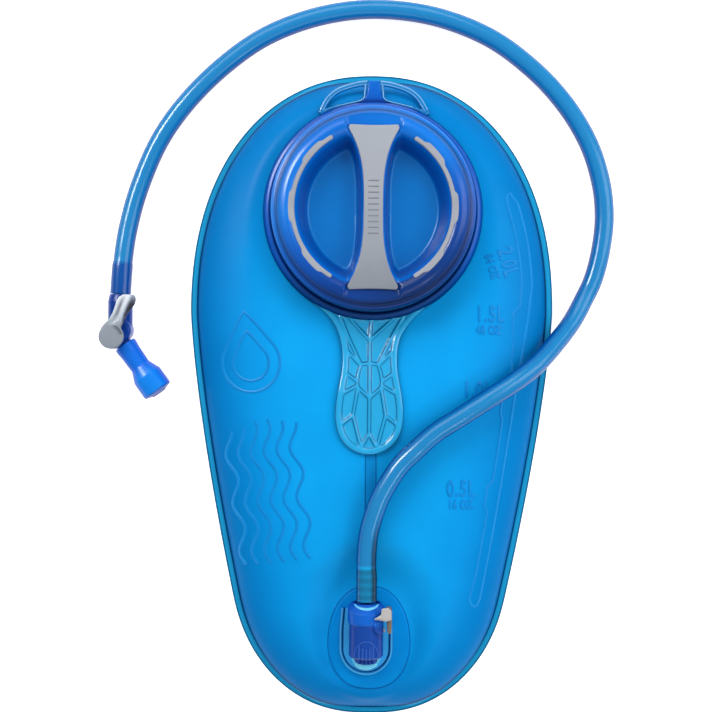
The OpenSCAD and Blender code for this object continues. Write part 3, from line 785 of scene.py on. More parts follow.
BIG, SMALL = 10.2, 5.6
number_mesh("volume_20", "2.0L", BIG, (71.6, 71.2), -73)
number_mesh("volume_20_small", "64 OZ", SMALL, (63.0, 68.6), -73)
number_mesh("volume_15", "1.5L", BIG, (62.2, 43.0))
number_mesh("volume_15_small", "48 OZ", SMALL, (61.6, 34.8))
number_mesh("volume_10", "1.0L", BIG, (55.6, 3.2))
number_mesh("volume_05", "0.5L", BIG, (47.6, -49.0))
number_mesh("volume_05_small", "16 OZ", SMALL, (47.4, -57.2))

# ---- fill port: collar, clear ring, cap
PORT = Matrix.Translation((0, PORT_Y, 0))
PITCH = 4.2
collar_profile = rounded([
    (44.0, 24.2), (44.5, 23.8), (44.5, 27.2), (58.0, 27.2), (57.9, 28.3), (56.2, 31.4), (54.9, 31.8),
    (54.0, 31.6), (53.9, 29.3), (46.8, 29.1), (46.8, 44.0), (44.0, 44.0)],
    [0, .2, .2, .4, .6, .6, .3, .2, .4, .6, .5, .5], 4)


def thread_data(radius, z0, turns, w, h, inward=False, n=96):
    """A raised screw thread of low section, closed all round."""
    sgn = -1 if inward else 1
    count = int(n * turns)
    rings = []
    for i in range(count + 1):
        a = 2 * math.pi * i / n
        fade = min(1, i / 10, (count - i) / 10)
        ring = []
        for u, k in ((-0.5, -0.4), (-0.28, 1), (0.28, 1), (0.5, -0.4)):
            r = radius + sgn * (h * (k * fade if k > 0 else k))
            ring.append(Vector((r * math.cos(a), PORT_Y + r * math.sin(a), z0 + PITCH * i / n + u * w)))
        rings.append(ring)
    verts, faces = skin_data(rings, caps=True)
    if inward:
        faces[:-2] = [q[::-1] for q in faces[:-2]]
    return verts, faces


collar_data = join_data([put(lathe_data(collar_profile, 192), PORT), thread_data(46.8, 33.2, 1.7, 1.9, 1.0)])
collar = add_mesh("fill_collar_ring", collar_data, collar_mat, "reservoir",
                  ("fill_collar", "fill_neck"))


def collar_tone_and_light(x, y, z, n):
    """Painted highlight along the collar's lip, and painted shade in the gap beside the cap and toward the
    outlet.
    """
    r = math.hypot(x, y - PORT_Y)
    # the dark band at 53.8 is painted shade in the gap, the light band at 55.4 a painted highlight on the lip
    band = between(r, [(46, (0, 84, 176)), (53.8, (0, 56, 138)), (54.7, (2, 70, 170)), (55.4, (40, 140, 228)),
                       (56.0, (6, 92, 196)), (57.2, (2, 74, 170)), (57.8, (0, 48, 126)), (60, (4, 100, 206)),
                       (70, (6, 112, 214))])
    # darker toward the outlet: painted shade
    low = 0.3 * float(smooth((PORT_Y - 20 - y) / 30))
    return tuple(c * (1 - low) for c in band)


paint(collar, collar_tone_and_light)
tab = [(-9.5, 154.1), (-6.4, 155.0), (-4.3, 156.8), (-3.3, 159.4), (-2.9, 163), (-2.9, 165.6), (2.9, 165.6),
       (2.9, 163), (3.3, 159.4), (4.3, 156.8), (6.4, 155.0), (9.5, 154.1)]
paint(plate("top_tab", tab, 27.2, 29.2, 0.5, collar_mat, "reservoir", ("collar_tab",)),
      collar_tone_and_light)

# clear ring with its two hanging eyes, made as rounded clear straps
ring_prof = [(44.8, 26.0), (57.4, 26.0), (57.7, 26.3), (57.7, 27.1), (44.8, 27.1)]
add_mesh("clear_ring", put(lathe_data(ring_prof), PORT), clear_mat, "reservoir",
         ("collar_ring",))


def straps(runs):
    """Rounded straps; each run is (points, half width, half height)."""
    return [tube_data([Vector(p) for p in pts], w, 12, squash=h / w) for pts, w, h in runs]


EYE_Z = 27.6
for side, tag in ((1, "left"), (-1, "right")):
    outer, inner = (spline_path([(side * x, y, EYE_Z) for x, y in pts], 6) for pts in (
        ((-28.2, 148.2), (-26.6, 151.6), (-23.4, 156.6), (-19, 160.2), (-14, 162.3), (-8.5, 163.8),
         (-3.4, 164.5)),
        ((-28.0, 148.0), (-23, 150.9), (-14, 153.2), (-7.6, 154.8), (-5.0, 156.6), (-4.6, 159.5),
         (-4.2, 163.8))))
    fused_mesh("hang_eye_" + tag, join_data(straps([(outer, 1.55, 1.1), (inner, 0.9, 0.9)])), 0.3, 2, eye_mat,
               "reservoir", ("eye_strap_" + tag,))
    # pale beads along the straps' edges: painted highlights standing for glints on the clear straps
    glint_beads = []
    for path, off in ((outer[4:], 1.05), (outer[4:], -0.55), (inner[8:], 0.3)):
        line = []
        for i, q in enumerate(path):
            t = heading(path, i)
            line.append(q + Vector((-t.y, t.x, 0)) * (off * side) + Vector((0, 0, 0.92 - 0.14 * abs(off))))
        glint_beads.append(tube_data(line, 0.2, 8))
    add_mesh("hang_eye_glint_" + tag, join_data(glint_beads), glint_mat, "reservoir", (), 60)


def soft_clip(s, e=0.012):
    return 0.5 * (np.sqrt(s * s + e) - np.sqrt((s - 1) ** 2 + e) + 1)


def smooth_max(a, b, k):
    h = np.clip(0.5 + 0.5 * (a - b) / k, 0, 1)
    return b * (1 - h) + a * h + k * h * (1 - h)


BAR_HALF = 42.4


def bar_w(y):
    """Half width of the grip bar, which flares toward its ends."""
    t = np.minimum(1, np.abs(y) / (0.95 * BAR_HALF))
    return 4.9 + 8.2 * t ** 3.2


DOME_R = [0, 39.6, 40.4, 41.6, 43, 44.2, 45.4, 46.6, 47.8, 48.9, 49.7, 50.2, 50.6, 51.6, 52.4, 52.8, 53.0]
DOME_Z = [47.6, 47.6, 48.1, 48.9, 49.6, 49.95, 49.8, 49.35, 48.7, 47.85, 47.0, 46.6, 46.5, 46.3, 45.7, 44.8,
          43.6]


def cap_height(x, y):
    """Top of the cap: domed rim, sloping recess walls, two D-shaped floors and the web under the grip bar."""
    r = np.hypot(x, y)
    top = np.interp(r, DOME_R, DOME_Z)
    wide = bar_w(y) + 0.8
    notch = np.clip((wide + 0.6 - np.abs(x)) / 0.9, 0, 1) * np.clip((r - 38) / 2, 0, 1)
    ramp_z = 47.3 + 0.16 * np.maximum(0, r - 42.4)
    top = np.where(r < 49.2, top * (1 - notch) + np.minimum(top, ramp_z) * notch, top)
    s1 = (r - 34.4) / 5.2
    s2 = (wide + 2.7 - np.abs(x)) / 2.7
    s = smooth_max(s1, s2, 1.1)
    web_top = 46.8 + 0.8 * np.clip((r - 34) / 5, 0, 1)
    top = np.where(r < 39.6, np.minimum(top, web_top), top)
    return 34.0 + (top - 34.0) * soft_clip(s)


def cap_data(n=336):
    """The cap's skin: its top, its skirt and its inner faces."""
    radii = [*np.linspace(1.2, 33, 34), *np.linspace(33.5, 41, 30), *np.linspace(41.5, 49.6, 22),
             49.9, 50.2, 50.5, 50.9, 51.4, 51.9, 52.3, 52.6, 52.8, 52.93]
    a = 2 * np.pi * np.arange(n) / n
    rings = [[(0, 0, float(cap_height(np.array(0.0), np.array(0.0))))]]
    for r in radii:
        x, y = r * np.cos(a), r * np.sin(a)
        rings.append(list(zip(x, y, cap_height(x, y))))
    skirt = rounded([(53.1, 43.0), (53.3, 38.0), (53.55, 34.0), (53.4, 32.2), (50.7, 32.2), (50.7, 45.6),
                     (49.4, 46.6), (41.4, 46.6), (37.2, 33.0), (34, 31.8)],
                    [0, 1, 1, .4, .3, .5, .4, .5, .5, 0], 3)
    verts, faces = skin_data(rings + [circle(r, z, n) for r, z in skirt] + [[(0, 0, 31.8)]])
    return [(x, y + PORT_Y, z) for x, y, z in verts], [q[:1] + q[:0:-1] for q in faces]


def cap_tone_and_light(x, y, z, n):
    """Clear blue recess floors, recess walls painted darker as shade, and a rim painted as lit from its upper
    left and shaded below, with painted shade and highlight on its steps.
    """
    y -= PORT_Y
    r = math.hypot(x, y)
    # the recess walls darken below the rim: painted shade
    cup = between(z, [(34.3, (0, 126, 208)), (35.2, (0, 96, 186)), (38, (0, 76, 164)), (45, (0, 90, 184)),
                      (46.6, (2, 108, 206))])
    if r < 40:
        return cup
    # painted light on the rim: lightest toward the upper left, darkest toward the outlet
    lit = (-0.38 * x + 0.9 * y) / r
    rim = between(lit, [(-1, (2, 50, 118)), (-0.75, (3, 62, 144)), (-0.3, (8, 84, 182)),
                        (0.3, (20, 126, 226)), (0.8, (12, 122, 224)), (1, (6, 114, 216))])
    # darker where the rim steepens and in the gap at its edge, lighter on the ledge: painted shade and
    # highlight
    step_light_and_shade = between(r, [(40.5, (1.0,)), (47, (1.0,)), (48.8, (0.9,)), (49.8, (0.72,)), (50.4, (0.7,)),
                      (51, (0.88,)), (51.9, (1.0,)), (52.4, (1.1,)), (52.8, (0.8,)), (53.6, (0.78,))])[0]
    return mix(cup, [min(255, c * step_light_and_shade) for c in rim], min(1, max(0, (r - 40) / 1.6)))


paint(add_mesh("cap_body", cap_data(), cap_mat, "cap",
               ("cap_shell", "cap_skirt", "cap_cup"), 60),
      cap_tone_and_light)
add_mesh("cap_thread", thread_data(50.7, 33.8, 1.6, 1.6, 0.7, True), thread_mat, "cap")


def bar_loop(n=48):
    """Outline of the grip bar, with small rounds at its four corners."""
    ys = [BAR_HALF * (2 * k / n - 1) for k in range(n + 1)]
    right = [(float(bar_w(y)), y) for y in ys][1:-1]
    end = [(x, -BAR_HALF + 0.5 * (1 - (x / 13) ** 2)) for x in np.linspace(12.4, -12.4, 13)]
    loop = right + [(x, -y) for x, y in end] + [(-x, y) for x, y in reversed(right)] + end[::-1]
    radii = [1.3 if abs(x) > 11.9 and abs(y) > 40.4 else 0 for x, y in loop]
    return [(x, y + PORT_Y) for x, y in rounded(loop, radii, 3)]


grip_bar = plate("grip_bar", bar_loop(), 46.2, 48.8, 0.5, bar_mat, "cap", ("cap_grip_bar",),
                 res=4)


def grip_bar_shade(x, y, z, n):
    """Grey, painted darker toward the outlet end as shade."""
    return between(y - PORT_Y, [(-43, (136, 141, 149)), (-18, (156, 160, 168)), (10, (166, 169, 177)),
                                (43, (172, 176, 184))])


paint(grip_bar, grip_bar_shade)
tick_ends = [[Vector((x, PORT_Y + y, 48.72)) for x in (-2.7, 2.7)] for y in np.linspace(-13.5, 13.5, 10)]
ticks = join_data([tube_data(ends, 0.42, 10, squash=0.5) for ends in tick_ends])
add_mesh("grip_bar_ticks", ticks, tick_mat, "cap", (), 60)


def pad_loop(turn, out_by):
    """Outline of a grip pad: a slim arc with three low scallops on its outer side."""
    def outer(a):
        scallops = ((0, 10.5, 1.7), (-41.5, 9.5, 1.4), (41.5, 9.5, 1.4))
        return 42.3 + max(h * float(smooth((half + 1.5 - abs(a - c)) / 4)) for c, half, h in scallops)
    mid, round_r, span = 41.2, 1.1, 58
    bend = [(round_r * math.cos(math.pi * k / 8), math.degrees(round_r / mid * math.sin(math.pi * k / 8)))
            for k in range(9)]
    pts = [(outer(a), a) for a in range(-span, span + 1)]
    pts += [(mid + c, span + s) for c, s in bend]
    pts += [(mid - round_r, a) for a in range(span, -span - 1, -1)]
    pts += [(mid - c, -span - s) for c, s in bend]
    out = []
    for r, a in pts:
        q = math.radians(a + turn)
        out.append(((r + out_by) * math.cos(q), PORT_Y + (r + out_by) * math.sin(q)))
    return out


for tag, turn, out_by in (("right", 0, 0), ("left", 180, 0.4)):
    plate("grip_pad_" + tag, pad_loop(turn, out_by), 46.6, 49.75, 0.5, grip_mat, "cap",
          ("cap_grip_" + tag,), res=4)

# ---- clear handle and its fan of ribs
HANDLE_X = -1.0


def handle_half(y):
    """Half width of the handle."""
    if y > 18:
        return 14.6 + 9.3 * ((y - 18) / 25) ** 2.5
    if y > -9:
        return 14.6 + 3.3 * float(smooth((18 - y) / 27))
    return 17.9 * float(lobe((-9 - y) / 21.8, 2.25, 1 / 2.25))


def handle_z(y):
    """Middle height of the moulding: flat on the ring, up the neck, level over the film."""
    t = math.tan(math.radians(10))
    if y > 37:
        return 28.5 - 0.5 * min(1, (y - 37) / 6)
    return 28.5 + t * (37 - max(2.0, y))


def hp(x, y, lift=0.0):
    """A point of the handle, which leans a little to the left."""
    lean = float(smooth((44 - y) / 16))
    return (x + HANDLE_X * lean, y, handle_z(y) + lift)


def rib(points, w=0.95, h=1.0):
    fine = []
    for (x0, y0), (x1, y1) in zip(points, points[1:]):
        n = max(2, int(math.hypot(x1 - x0, y1 - y0) / 2.5))
        fine += [hp(x0 + (x1 - x0) * k / n, y0 + (y1 - y0) * k / n) for k in range(n)]
    return fine + [hp(*points[-1])], w, h


edge_ys = [48.6, 46, 43, 40, 37, 34, 31, 28, 25, 22, 18, 14, 10, 6, 2, -2, -6, -9, -12, -15, -18, -21, -24,
           -26.5, -28.4, -29.8, -30.5]
edge_r = [(handle_half(y) - 1.9, y + 1.4 * max(0, (-20 - y) / 10)) for y in edge_ys]
loop = [hp(x, y) for x, y in edge_r] + [hp(-x, y) for x, y in reversed(edge_r)]
runs = [(spline_path(loop, 3), 1.95, 1.15)]
mirrored = [
    [(11.8, 40.6), (0, 28.7)], [(16.6, 41.5), (4.6, 16.3)], [(12.6, 24), (4.8, 15.8)],
    [(0, 17), (4.5, 16.2), (5.8, 12), (6.6, 7.3), (6.0, 4.2), (0, -1.2)],
    [(12.9, 12), (6.6, 7.5)], [(13.3, 1.4), (6.2, 5.4)], [(6.1, 4), (8.5, -10.3), (14.6, -15.2)],
    [(8.5, -10.3), (4.2, -27)], [(0, -19.7), (4.2, -27.4)]]
runs += [rib([(side * x, y) for x, y in line]) for line in mirrored for side in (1, -1)]
runs.append(rib([(0, 40), (0, -19.7)], 1.0, 1.05))
ROOT_R = 57.2
root_angles = [math.radians(a) for a in range(-32, 33, 2)]
root_arc = [hp(ROOT_R * math.sin(a), PORT_Y - ROOT_R * math.cos(a), -0.2) for a in root_angles]
runs.append((root_arc, 1.2, 0.9))


def membrane():
    """The thin web of clear plastic between the ribs."""
    rings = []
    for y in [45, 42, 39, 36, 33, 30, 26, 22, 18, 14, 10, 6, 2, -2, -6, -10, -14, -18, -22, -25, -27.5, -29]:
        xs = [(handle_half(y) - 1.2) * k / 6 for k in range(-6, 7)]
        rings.append([hp(x, y, -0.85) for x in xs] + [hp(x, y, -0.1) for x in reversed(xs)])
    return skin_data(rings, caps=True)


handle = fused_mesh("handle_moulding", join_data(straps(runs) + [membrane()]), 0.36, 2, handle_mat,
                    None, ("fill_handle",))
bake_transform(handle)

# ---- outlet
CRADLE_TOP, CRADLE_Y = -112, -133.4  # the cradle's open end and the centre of its bend
SWELL_Y = -132.2  # centre of the clear swell below the nose
MOUTH_Y, MOUTH_CUT = -107, 0.36  # the socket's mouth, and how far it is cut back for each mm of height
FLAT_X = SOCKET_X + 8.8  # the socket's flat beside the button


def along_y(y):
    """Lays a lathe's axis along -Y on the socket's axis, starting at y."""
    return Matrix.Translation((SOCKET_X, y, SOCKET_Z)) @ Matrix.Rotation(math.radians(90), 4, "X")


plate("outlet_base", oval(41.6, 53.2), 25.0, 25.9, 0.4, base_mat, "reservoir",
      ("outlet_flange",))


def u_path(half, n=24):
    """A U round the socket's nose, open toward the mouth."""
    pts = [(-half + 0.9, CRADLE_TOP), (-half, CRADLE_Y + 10), (-half, CRADLE_Y + 3)]
    bend = [math.pi + math.pi * k / n for k in range(n + 1)]
    pts += [(half * math.cos(a), CRADLE_Y + half * math.sin(a)) for a in bend]
    pts += [(half, CRADLE_Y + 3), (half, CRADLE_Y + 10), (half - 0.9, CRADLE_TOP)]
    return [(x + SOCKET_X, y) for x, y in pts]


def wall_data(path, w0, w1, z0, z1):
    """A standing wall along a path, w0 thick at its foot and w1 at its rounded top."""
    section = [(-w0 / 2, z0), (w0 / 2, z0), (w1 / 2, z1 - 0.5), (w1 / 2 - 0.4, z1), (-w1 / 2 + 0.4, z1),
               (-w1 / 2, z1 - 0.5)]
    line = [Vector((x, y, 0)) for x, y in path]
    rings = []
    for i, p in enumerate(line):
        t = heading(line, i)
        rings.append([p + Vector((-t.y, t.x, 0)) * u + Vector((0, 0, z)) for u, z in section])
    return skin_data(rings, caps=True)


def swell_data(r, half_angle, thick, z0, z1, n=28):
    """A clear swell below the nose: a crescent, thickest in the middle, with a domed top."""
    rings = []
    for k in range(n + 1):
        a = math.radians(-90 - half_angle + 2 * half_angle * k / n)
        w = thick * (1 - (2 * k / n - 1) ** 2) ** 0.7 + 0.3
        section = [(r + w * u, z0 + (z1 - z0) * h) for u, h in (
            (0, 0), (0.1, 0.62), (0.35, 1), (0.65, 1), (0.9, 0.62), (1, 0))]
        rings.append([Vector((SOCKET_X + q * math.cos(a), SWELL_Y + q * math.sin(a), z)) for q, z in section])
    return skin_data(rings, caps=True)


plate("cradle_floor", u_path(11.9), 25.8, 28.8, 0.5, pool_mat, "reservoir")
add_mesh("outlet_cradle", wall_data(u_path(13.3), 2.6, 1.2, 25.4, 29.4), cradle_mat, "reservoir",
         (), 50)
add_mesh("cradle_swell", swell_data(6.9, 72, 5.6, 27.0, 32.6), swell_mat, "reservoir", (), 60)
socket_profile = rounded([
    (6.3, 1.2), (6.6, 0.0), (7.6, 0.0), (9.5, 1.9), (9.65, 3.2), (9.65, 9.6), (9.3, 10.8), (8.9, 11.2),
    (8.8, 12.2), (8.9, 27.4), (8.0, 28.4), (6.0, 28.7), (5.9, 30.4), (5.2, 31.4), (0, 31.6), (0, 30),
    (4.6, 29.5), (4.6, 17), (6.3, 16.6), (6.3, 14.1), (8.3, 14.1), (8.3, 11.9), (6.3, 11.9)],
    [.2, .2, .3, .5, .6, .6, .4, .3, .3, .6, .6, .3, .5, .5, 0, 0, 0, 0, 0, 0, 0, 0, 0], 4)
barrel = put(lathe_data(socket_profile, 96), along_y(MOUTH_Y))
for q in barrel[0]:
    # the mouth is cut back toward its top
    q.y -= MOUTH_CUT * max(0.0, q.z - SOCKET_Z) * min(1.0, max(0.0, (q.y + 116) / 8))
    # flat beside the button's leg, so the leg has room to be pressed
    if q.z > 36:
        q.x = min(q.x, FLAT_X)
socket_parts = [barrel]
# ribs on the nose, the arch over them, the lug under the button and the duct
for x in (-3.6, -1.8, 0, 1.8, 3.6):
    high = SOCKET_Z + math.sqrt(9.0 ** 2 - x * x) - 0.15
    low = SOCKET_Z + math.sqrt(6.1 ** 2 - x * x) - 0.1
    steps = ((-129.5 + 0.12 * x * x, high), (-134.2, high), (-135.6, low + 0.8), (-138.0, low))
    socket_parts.append(tube_data([Vector((x + SOCKET_X, y, z)) for y, z in steps], 0.5, 8))
arch = [(6.0 * math.cos(a), -133.8 + 8.0 * math.sin(a)) for a in [math.pi * k / 20 for k in range(21)]]
arch = [Vector((SOCKET_X + x, y, SOCKET_Z + math.sqrt(8.9 ** 2 - x * x))) for x, y in arch]
socket_parts.append(tube_data(arch, 0.42, 8))
lug_prof = rounded([(0, 0.8), (3.6, 0.8), (3.6, 2.6), (2.9, 3.2), (0, 3.3)], [0, 0, .6, .6, 0], 3)
lug_at = Matrix.Translation((SOCKET_X + 6.0, -118.7, 43.6)) @ Matrix.Rotation(math.radians(22), 4, "Y")
lug = put(lathe_data(lug_prof, 40, closed=False), lug_at)
for q in lug[0]:
    q.x = min(q.x, FLAT_X)
duct = lathe_data([(4.7, 25.2), (6.3, 25.2), (6.3, 33.4), (4.7, 33.4)], 48)
socket_parts += [lug, put(duct, Matrix.Translation((SOCKET_X, OUTLET_Y, 0)))]


def plug_tone_and_light(x, y, z, n):
    """Bright collar at the mouth, deep barrel behind its step, paler ribs on the nose; all painted lighter
    toward the top as light from above.
    """
    # lighter toward the top: painted light
    up = max(0.0, min(1.0, (z - 36) / 12))
    front = (10 + 12 * up, 68 + 38 * up, 168 + 44 * up)
    back = (10 + 18 * up, 44 + 34 * up, 134 + 34 * up)
    if y < -124 and math.hypot(x - SOCKET_X, z - SOCKET_Z) > 8.97:
        return (48, 96, 190)
    return mix(front, back, float(smooth((-117.4 - y) / 1.2)))


paint(add_mesh("socket_barrel", join_data(socket_parts), plug_mat, "reservoir",
               ("outlet_socket",)),
      plug_tone_and_light)
# a pale lip round the mouth's upper edge, coloured as a painted highlight of the mouth's chamfer
LIP_R = 6.9
smile = []
for k in range(25):
    a = math.pi * (0.08 + 0.84 * k / 24)
    rise = LIP_R * math.sin(a)
    smile.append(Vector((SOCKET_X + 6.3 * math.cos(a), MOUTH_Y - 0.2 - MOUTH_CUT * rise, SOCKET_Z + rise)))
lip = tube_data(smile, lambda t: 0.35 + 0.65 * math.sin(math.pi * t) ** 0.7, 12)
add_mesh("socket_mouth_lip", lip, lip_highlight_mat, "reservoir", (), 60)

# connector plug: seal lands inside the socket, a lit collar at the mouth and a stack of barbs in the hose
plug_prof = rounded([
    (2.4, 17.4), (2.4, 0.6), (5.6, 0.6), (6.1, 1.2), (6.1, 2.4), (5.8, 2.9), (5.8, 5.4), (4.5, 5.6),
    (4.5, 7.2), (5.8, 7.4), (6.15, 8), (6.15, 10.4), (5.7, 10.8), (5.7, 14.6), (6.15, 15), (6.15, 16.4),
    (5.8, 16.6)],
    [0, 0, .4, .3] + [.2] * 13, 3)
plug_body = add_mesh("connector_plug_body", put(lathe_data(plug_prof, 72), along_y(MOUTH_Y)), plug_mat,
                     "hose_line", ("connector_plug",))
paint(plug_body, plug_tone_and_light)


def barb_radius(s):
    """Radius along a hose barb, s mm from its shoulder: four shallow ridges."""
    return 4.15 + 0.42 * (1 - (s % 4.2) / 4.2)


def barb_data(path, length):
    """A ridged spigot that follows the hose's own line for a length from its first point."""
    total, pts, rad, fine = 0.0, [], [], []
    for a, b in zip(path, path[1:]):
        k = max(1, int((b - a).length / 0.35))
        fine += [a.lerp(b, i / k) for i in range(k)]
    for a, b in zip(fine, fine[1:]):
        if total > length:
            break
        pts.append(a)
        rad.append(barb_radius(total))
        total += (b - a).length
    n = len(pts) - 1
    return tube_data(pts, lambda t: rad[int(round(t * n))], 32)


plug_barb = add_mesh("connector_barb", barb_data(hose_line, 17.5), barb_mat, "hose_line")
valve_barb = add_mesh("valve_barb", barb_data(hose_line[::-1], 16.6), valve_mat, "hose_line")

# release button: a wedge thumb plate with a leg down the side, the leg in a darker grey as painted shade
wedge = rounded([(2.2, -113.9), (4.6, -112.6), (6.2, -111.6), (6.5, -108.4), (10.2, -107.9), (11.5, -109.8),
                 (11.6, -114.2), (8.8, -114.9)], [.5, .8, .9, .8, 1.2, 1.2, 1.0, .6], 4)
leg = rounded([(9.0, -109.0), (11.6, -109.0), (11.5, -120.6), (10.4, -121.8), (9.3, -120.6)],
              [.5, .8, 1.0, .8, .6], 4)
plate("release_button_top", [(x + SOCKET_X + 1.2, y) for x, y in wedge], 48.0, 50.0, 0.65, button_mat,
      "button", ("release_button",), res=4)
plate("release_button_leg", [(x + SOCKET_X + 1.4, y) for x, y in leg], 38.4, 48.6, 0.6, leg_shade_mat, "button")

# ---- shut-off valve, lever and bite valve
VALVE_Z = 8.3
LEVER_AT, ELBOW_AT, SPOUT_AT = (-139.2, 30), (-136.1, 33.5), (-138.3, 32.4)
LEVER_TOP = 19.4


def from_z(at, turn=0.0):
    """Stands a lathe's axis at a point of the valve."""
    return Matrix.Translation((*at, VALVE_Z)) @ Matrix.Rotation(math.radians(turn), 4, "Z")


def toward(at, turn=0.0, sign=1):
    """A lathe's axis laid level, toward +Y (sign 1) or -Y (sign -1) before the turn."""
    return from_z(at, turn) @ Matrix.Rotation(math.radians(-90 * sign), 4, "X")


boss = rounded([(0, -6.9), (6.7, -6.9), (6.7, 7.0), (6.2, 7.6), (5.1, 7.6), (5.1, 6.0), (0, 6.0)],
               [0, 1.2, .6, .4, .2, 0, 0], 4)
inlet = rounded([(0, 0), (6.6, 0), (6.6, 15.5), (6.2, 17.6), (5.7, 19.4), (3.1, 19.4), (3.1, 36), (2.3, 36),
                 (2.3, 4), (0, 4)], [0, .5, 1.4, 1.2, .4, .3, .2, .2, 0, 0], 4)
spout = rounded([(0, 0), (5.7, 0), (5.7, 6.2), (4.1, 6.8), (4.1, 21), (3.6, 22), (2.4, 22), (2.4, 3), (0, 3)],
                [0, .4, .6, .3, .3, .3, .2, 0, 0], 4)
elbow = rounded([(0, -6.7), (6.7, -6.7), (6.7, 6.6), (0, 6.6)], [0, 2.4, 2.4, 0])
spout_axis = toward(SPOUT_AT, 36, -1)
valve_data = join_data([put(lathe_data(prof, 72, closed=False), at) for prof, at in (
    (boss, from_z(LEVER_AT)), (elbow, from_z(ELBOW_AT)), (inlet, toward(ELBOW_AT)), (spout, spout_axis))])
valve = add_mesh("valve_housing", valve_data, valve_mat, "hose_line", ("shutoff_body",))

# lever: a cap disc and a scooped arm whose right side turns down into a thumb wall
arm_sections = [  # left edge x, right edge x, y, wall reach, wall drop
    (-144.6, -134.6, 34.4, 0.4, 2.4), (-142.9, -134.0, 36.6, 0.6, 2.9), (-140.2, -134.0, 39.2, 1.2, 3.3),
    (-138.6, -133.5, 42.0, 2.4, 3.7), (-137.5, -132.6, 44.8, 3.6, 3.9), (-136.8, -131.7, 47.2, 4.3, 4.0),
    (-136.1, -130.6, 49.4, 3.9, 4.0), (-134.9, -129.8, 51.2, 2.9, 3.9), (-132.8, -129.4, 52.4, 1.8, 3.6)]
rings = []
for xl, xr, y, reach, drop in arm_sections:
    dip = 1.3 * float(smooth((y - 34) / 8)) * float(smooth((54 - y) / 5))
    section = ((xl, 2.6), (xl - 0.15, 0.6), (xl + 0.45, 0), ((xl + xr) / 2, dip), (xr - 0.5, 0),
               (xr + 0.35, 0.3), (xr + 0.35 + reach, drop - 0.6), (xr + 0.1 + reach, drop),
               (xr - 0.7 + reach * 0.8, drop), (xr - 1.2, 2.2))
    rings.append([Vector((x, y, LEVER_TOP - below)) for x, below in section])
disc_prof = rounded([(0, 11.1), (6.6, 11.1), (6.75, 10.0), (6.75, 8.6), (6.2, 8.2), (5.2, 8.2), (5.2, 9.4),
                     (0, 9.4)],
                    [0, .9, .4, .4, .3, .2, .2, 0])
disc = put(lathe_data(disc_prof, 96, closed=False), from_z(LEVER_AT))
lever_data = join_data([skin_data(rings, caps=True), (disc[0], [q[::-1] for q in disc[1]])])
lever = fused_mesh("lever_arm", lever_data, 0.28, 6, lever_mat, "lever", ("shutoff_lever",))


def lever_light_and_shade(x, y, z, n):
    """Grey lever, painted paler toward its tip as highlight, with its thumb wall down its right side painted
    dark as shade.
    """
    far = math.hypot(x - LEVER_AT[0], y - LEVER_AT[1])
    face = between(y, [(24, (144, 151, 160)), (36, (148, 155, 165)), (41, (208, 216, 225)),
                       (50, (238, 242, 246))])
    if far > 6.2 and x > -138.5:
        wall = between(y, [(34, (70, 76, 86)), (47, (50, 50, 60)), (50, (120, 126, 136)),
                           (52.5, (190, 198, 208))])
        return mix(face, wall, float(smooth((19.2 - z) / 1.7)))
    # a painted shadow on the arm's root beside the disc
    if 4 < far < 9 and y > 31:
        k = float(smooth((x + 138.8) / 2.5)) * max(0, 1 - abs(far - 6.2) / 2.4)
        return tuple(a * (1 - 0.45 * k) for a in face)
    return face


paint(lever, lever_light_and_shade)

bite_profile = rounded([
    (4.45, 8.4), (6.05, 8.3), (6.15, 10), (5.75, 14), (5.5, 22.8), (8.1, 28.8), (8.2, 30), (8.3, 38.2),
    (7.8, 39.1), (4, 40.2), (0, 40.5), (0, 37.8), (5.6, 37), (6.4, 35.6), (6.4, 31), (4.45, 25)],
    [.3, .5, 2, 3, 2, 1.0, 1.0, .6, .4, 1, 0, 0, .5, .5, .5, .5])
bite = add_mesh("bite_valve_soft", put(lathe_data(bite_profile, 96), spout_axis), silicone_mat, "mouthpiece",
                ("bite_valve",))


def bite_tone_and_light(x, y, z, n):
    """Painted shade round the sides and painted light along the top of the head; a little darker at its end.
    """
    along = (x - SPOUT_AT[0]) * 0.588 - (y - SPOUT_AT[1]) * 0.809
    body = between(n.z, [(-1, (2, 66, 176)), (0.15, (2, 74, 190)), (0.55, (4, 100, 218)), (1, (8, 118, 232))])
    if along > 28.5:
        body = mix(body, (4, 136, 240), float(smooth((n.z - 0.4) / 0.5)))
    return body if along < 38.6 else tuple(c * 0.85 for c in body)


paint(bite, bite_tone_and_light)
slit = [spout_axis @ Vector((x, 0.0, 40.48 - 0.011 * x * x)) for x in np.linspace(-4.2, 4.2, 15)]
add_mesh("bite_slit", tube_data(slit, 0.22, 8), slit_mat, "mouthpiece", (), 60)

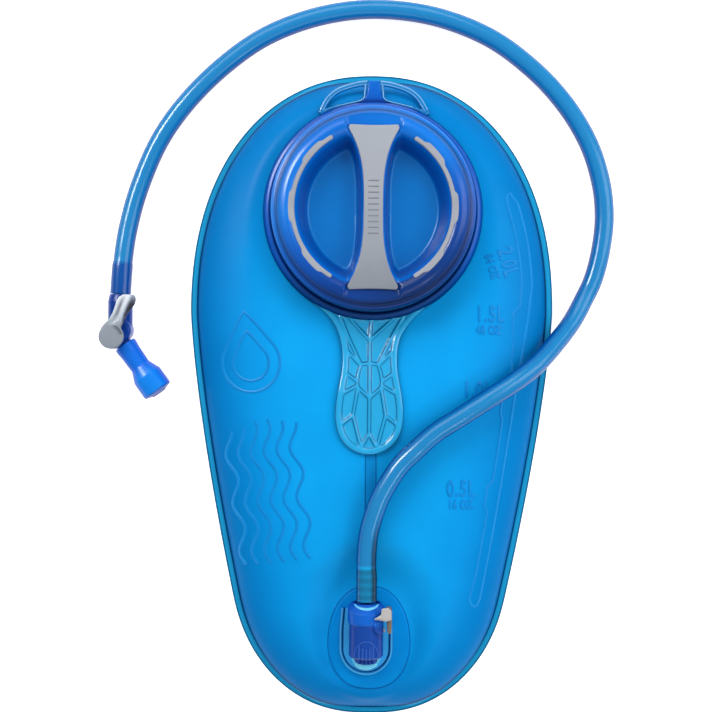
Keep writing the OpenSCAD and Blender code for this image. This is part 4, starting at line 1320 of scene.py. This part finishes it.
# ---- CAD nodes that keep their CAD shape
for node, mat in (("baffle_web", web_mat), ("cap_seal", seal_mat), ("outlet_poppet", white_mat),
                  ("poppet_spring", steel_mat), ("latch_plate", steel_mat),
                  ("plug_seal", black_mat), ("shutoff_spool", white_mat), ("spool_seal", black_mat)):
    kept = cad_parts[node].data
    kept.materials.clear()
    kept.materials.append(mat)

# ---- floor and light
floor_mat, nt, b = new_mat("floor_white")
surface(nt, b, cloud(nt, 3, 2, (0.93, 0.93, 0.93, 1), (0.95, 0.95, 0.95, 1)), 0.9, 0.0)
b.inputs["Emission Color"].default_value = (1, 1, 1, 1)
b.inputs["Emission Strength"].default_value = 0.75
corners = [(x, y, -0.6) for x, y in ((-3000, -3000), (3000, -3000), (3000, 3000), (-3000, 3000))]
floor = place("floor", new_mesh("floor", (corners, [(0, 1, 2, 3)])))
floor.data.materials.append(floor_mat)

world = bpy.data.worlds.new("studio")
bpy.context.scene.world = world
world.use_nodes = True
background = world.node_tree.nodes["Background"]
background.inputs["Color"].default_value = (0.9, 0.95, 1.0, 1)
background.inputs["Strength"].default_value = 0.40


def area(name, loc, target, size, power):
    d = bpy.data.lights.new(name, "AREA")
    d.shape = "RECTANGLE"
    d.size, d.size_y = size
    d.energy = power
    o = place(name, d)
    o.location = loc
    o.rotation_euler = (Vector(target) - Vector(loc)).to_track_quat("-Z", "Y").to_euler()
    return o


area("key", (-0.12, 0.88, 0.76), (0, 0.0, 0), (0.85, 0.6), 5.0)
area("side", (0.80, 0.22, 0.70), (0, 0, 0), (0.5, 0.8), 4.4)
area("left", (-0.72, 0.44, 0.62), (0, 0.03, 0), (0.5, 0.55), 2.4)
area("low", (0.16, -0.85, 0.85), (0, -0.1, 0), (0.8, 0.35), 1.6)
# a soft glint on the left of the cap, hose and bite valve; it adds no general light
area("spark_upper", (-0.58, 0.46, 0.62), (0, 0.1, 0), (0.30, 0.22), 8.0).visible_diffuse = False
area("spark_lower", (0.46, -0.42, 0.62), (0, 0, 0), (0.08, 0.08), 0.4)

bpy.context.view_layer.update()
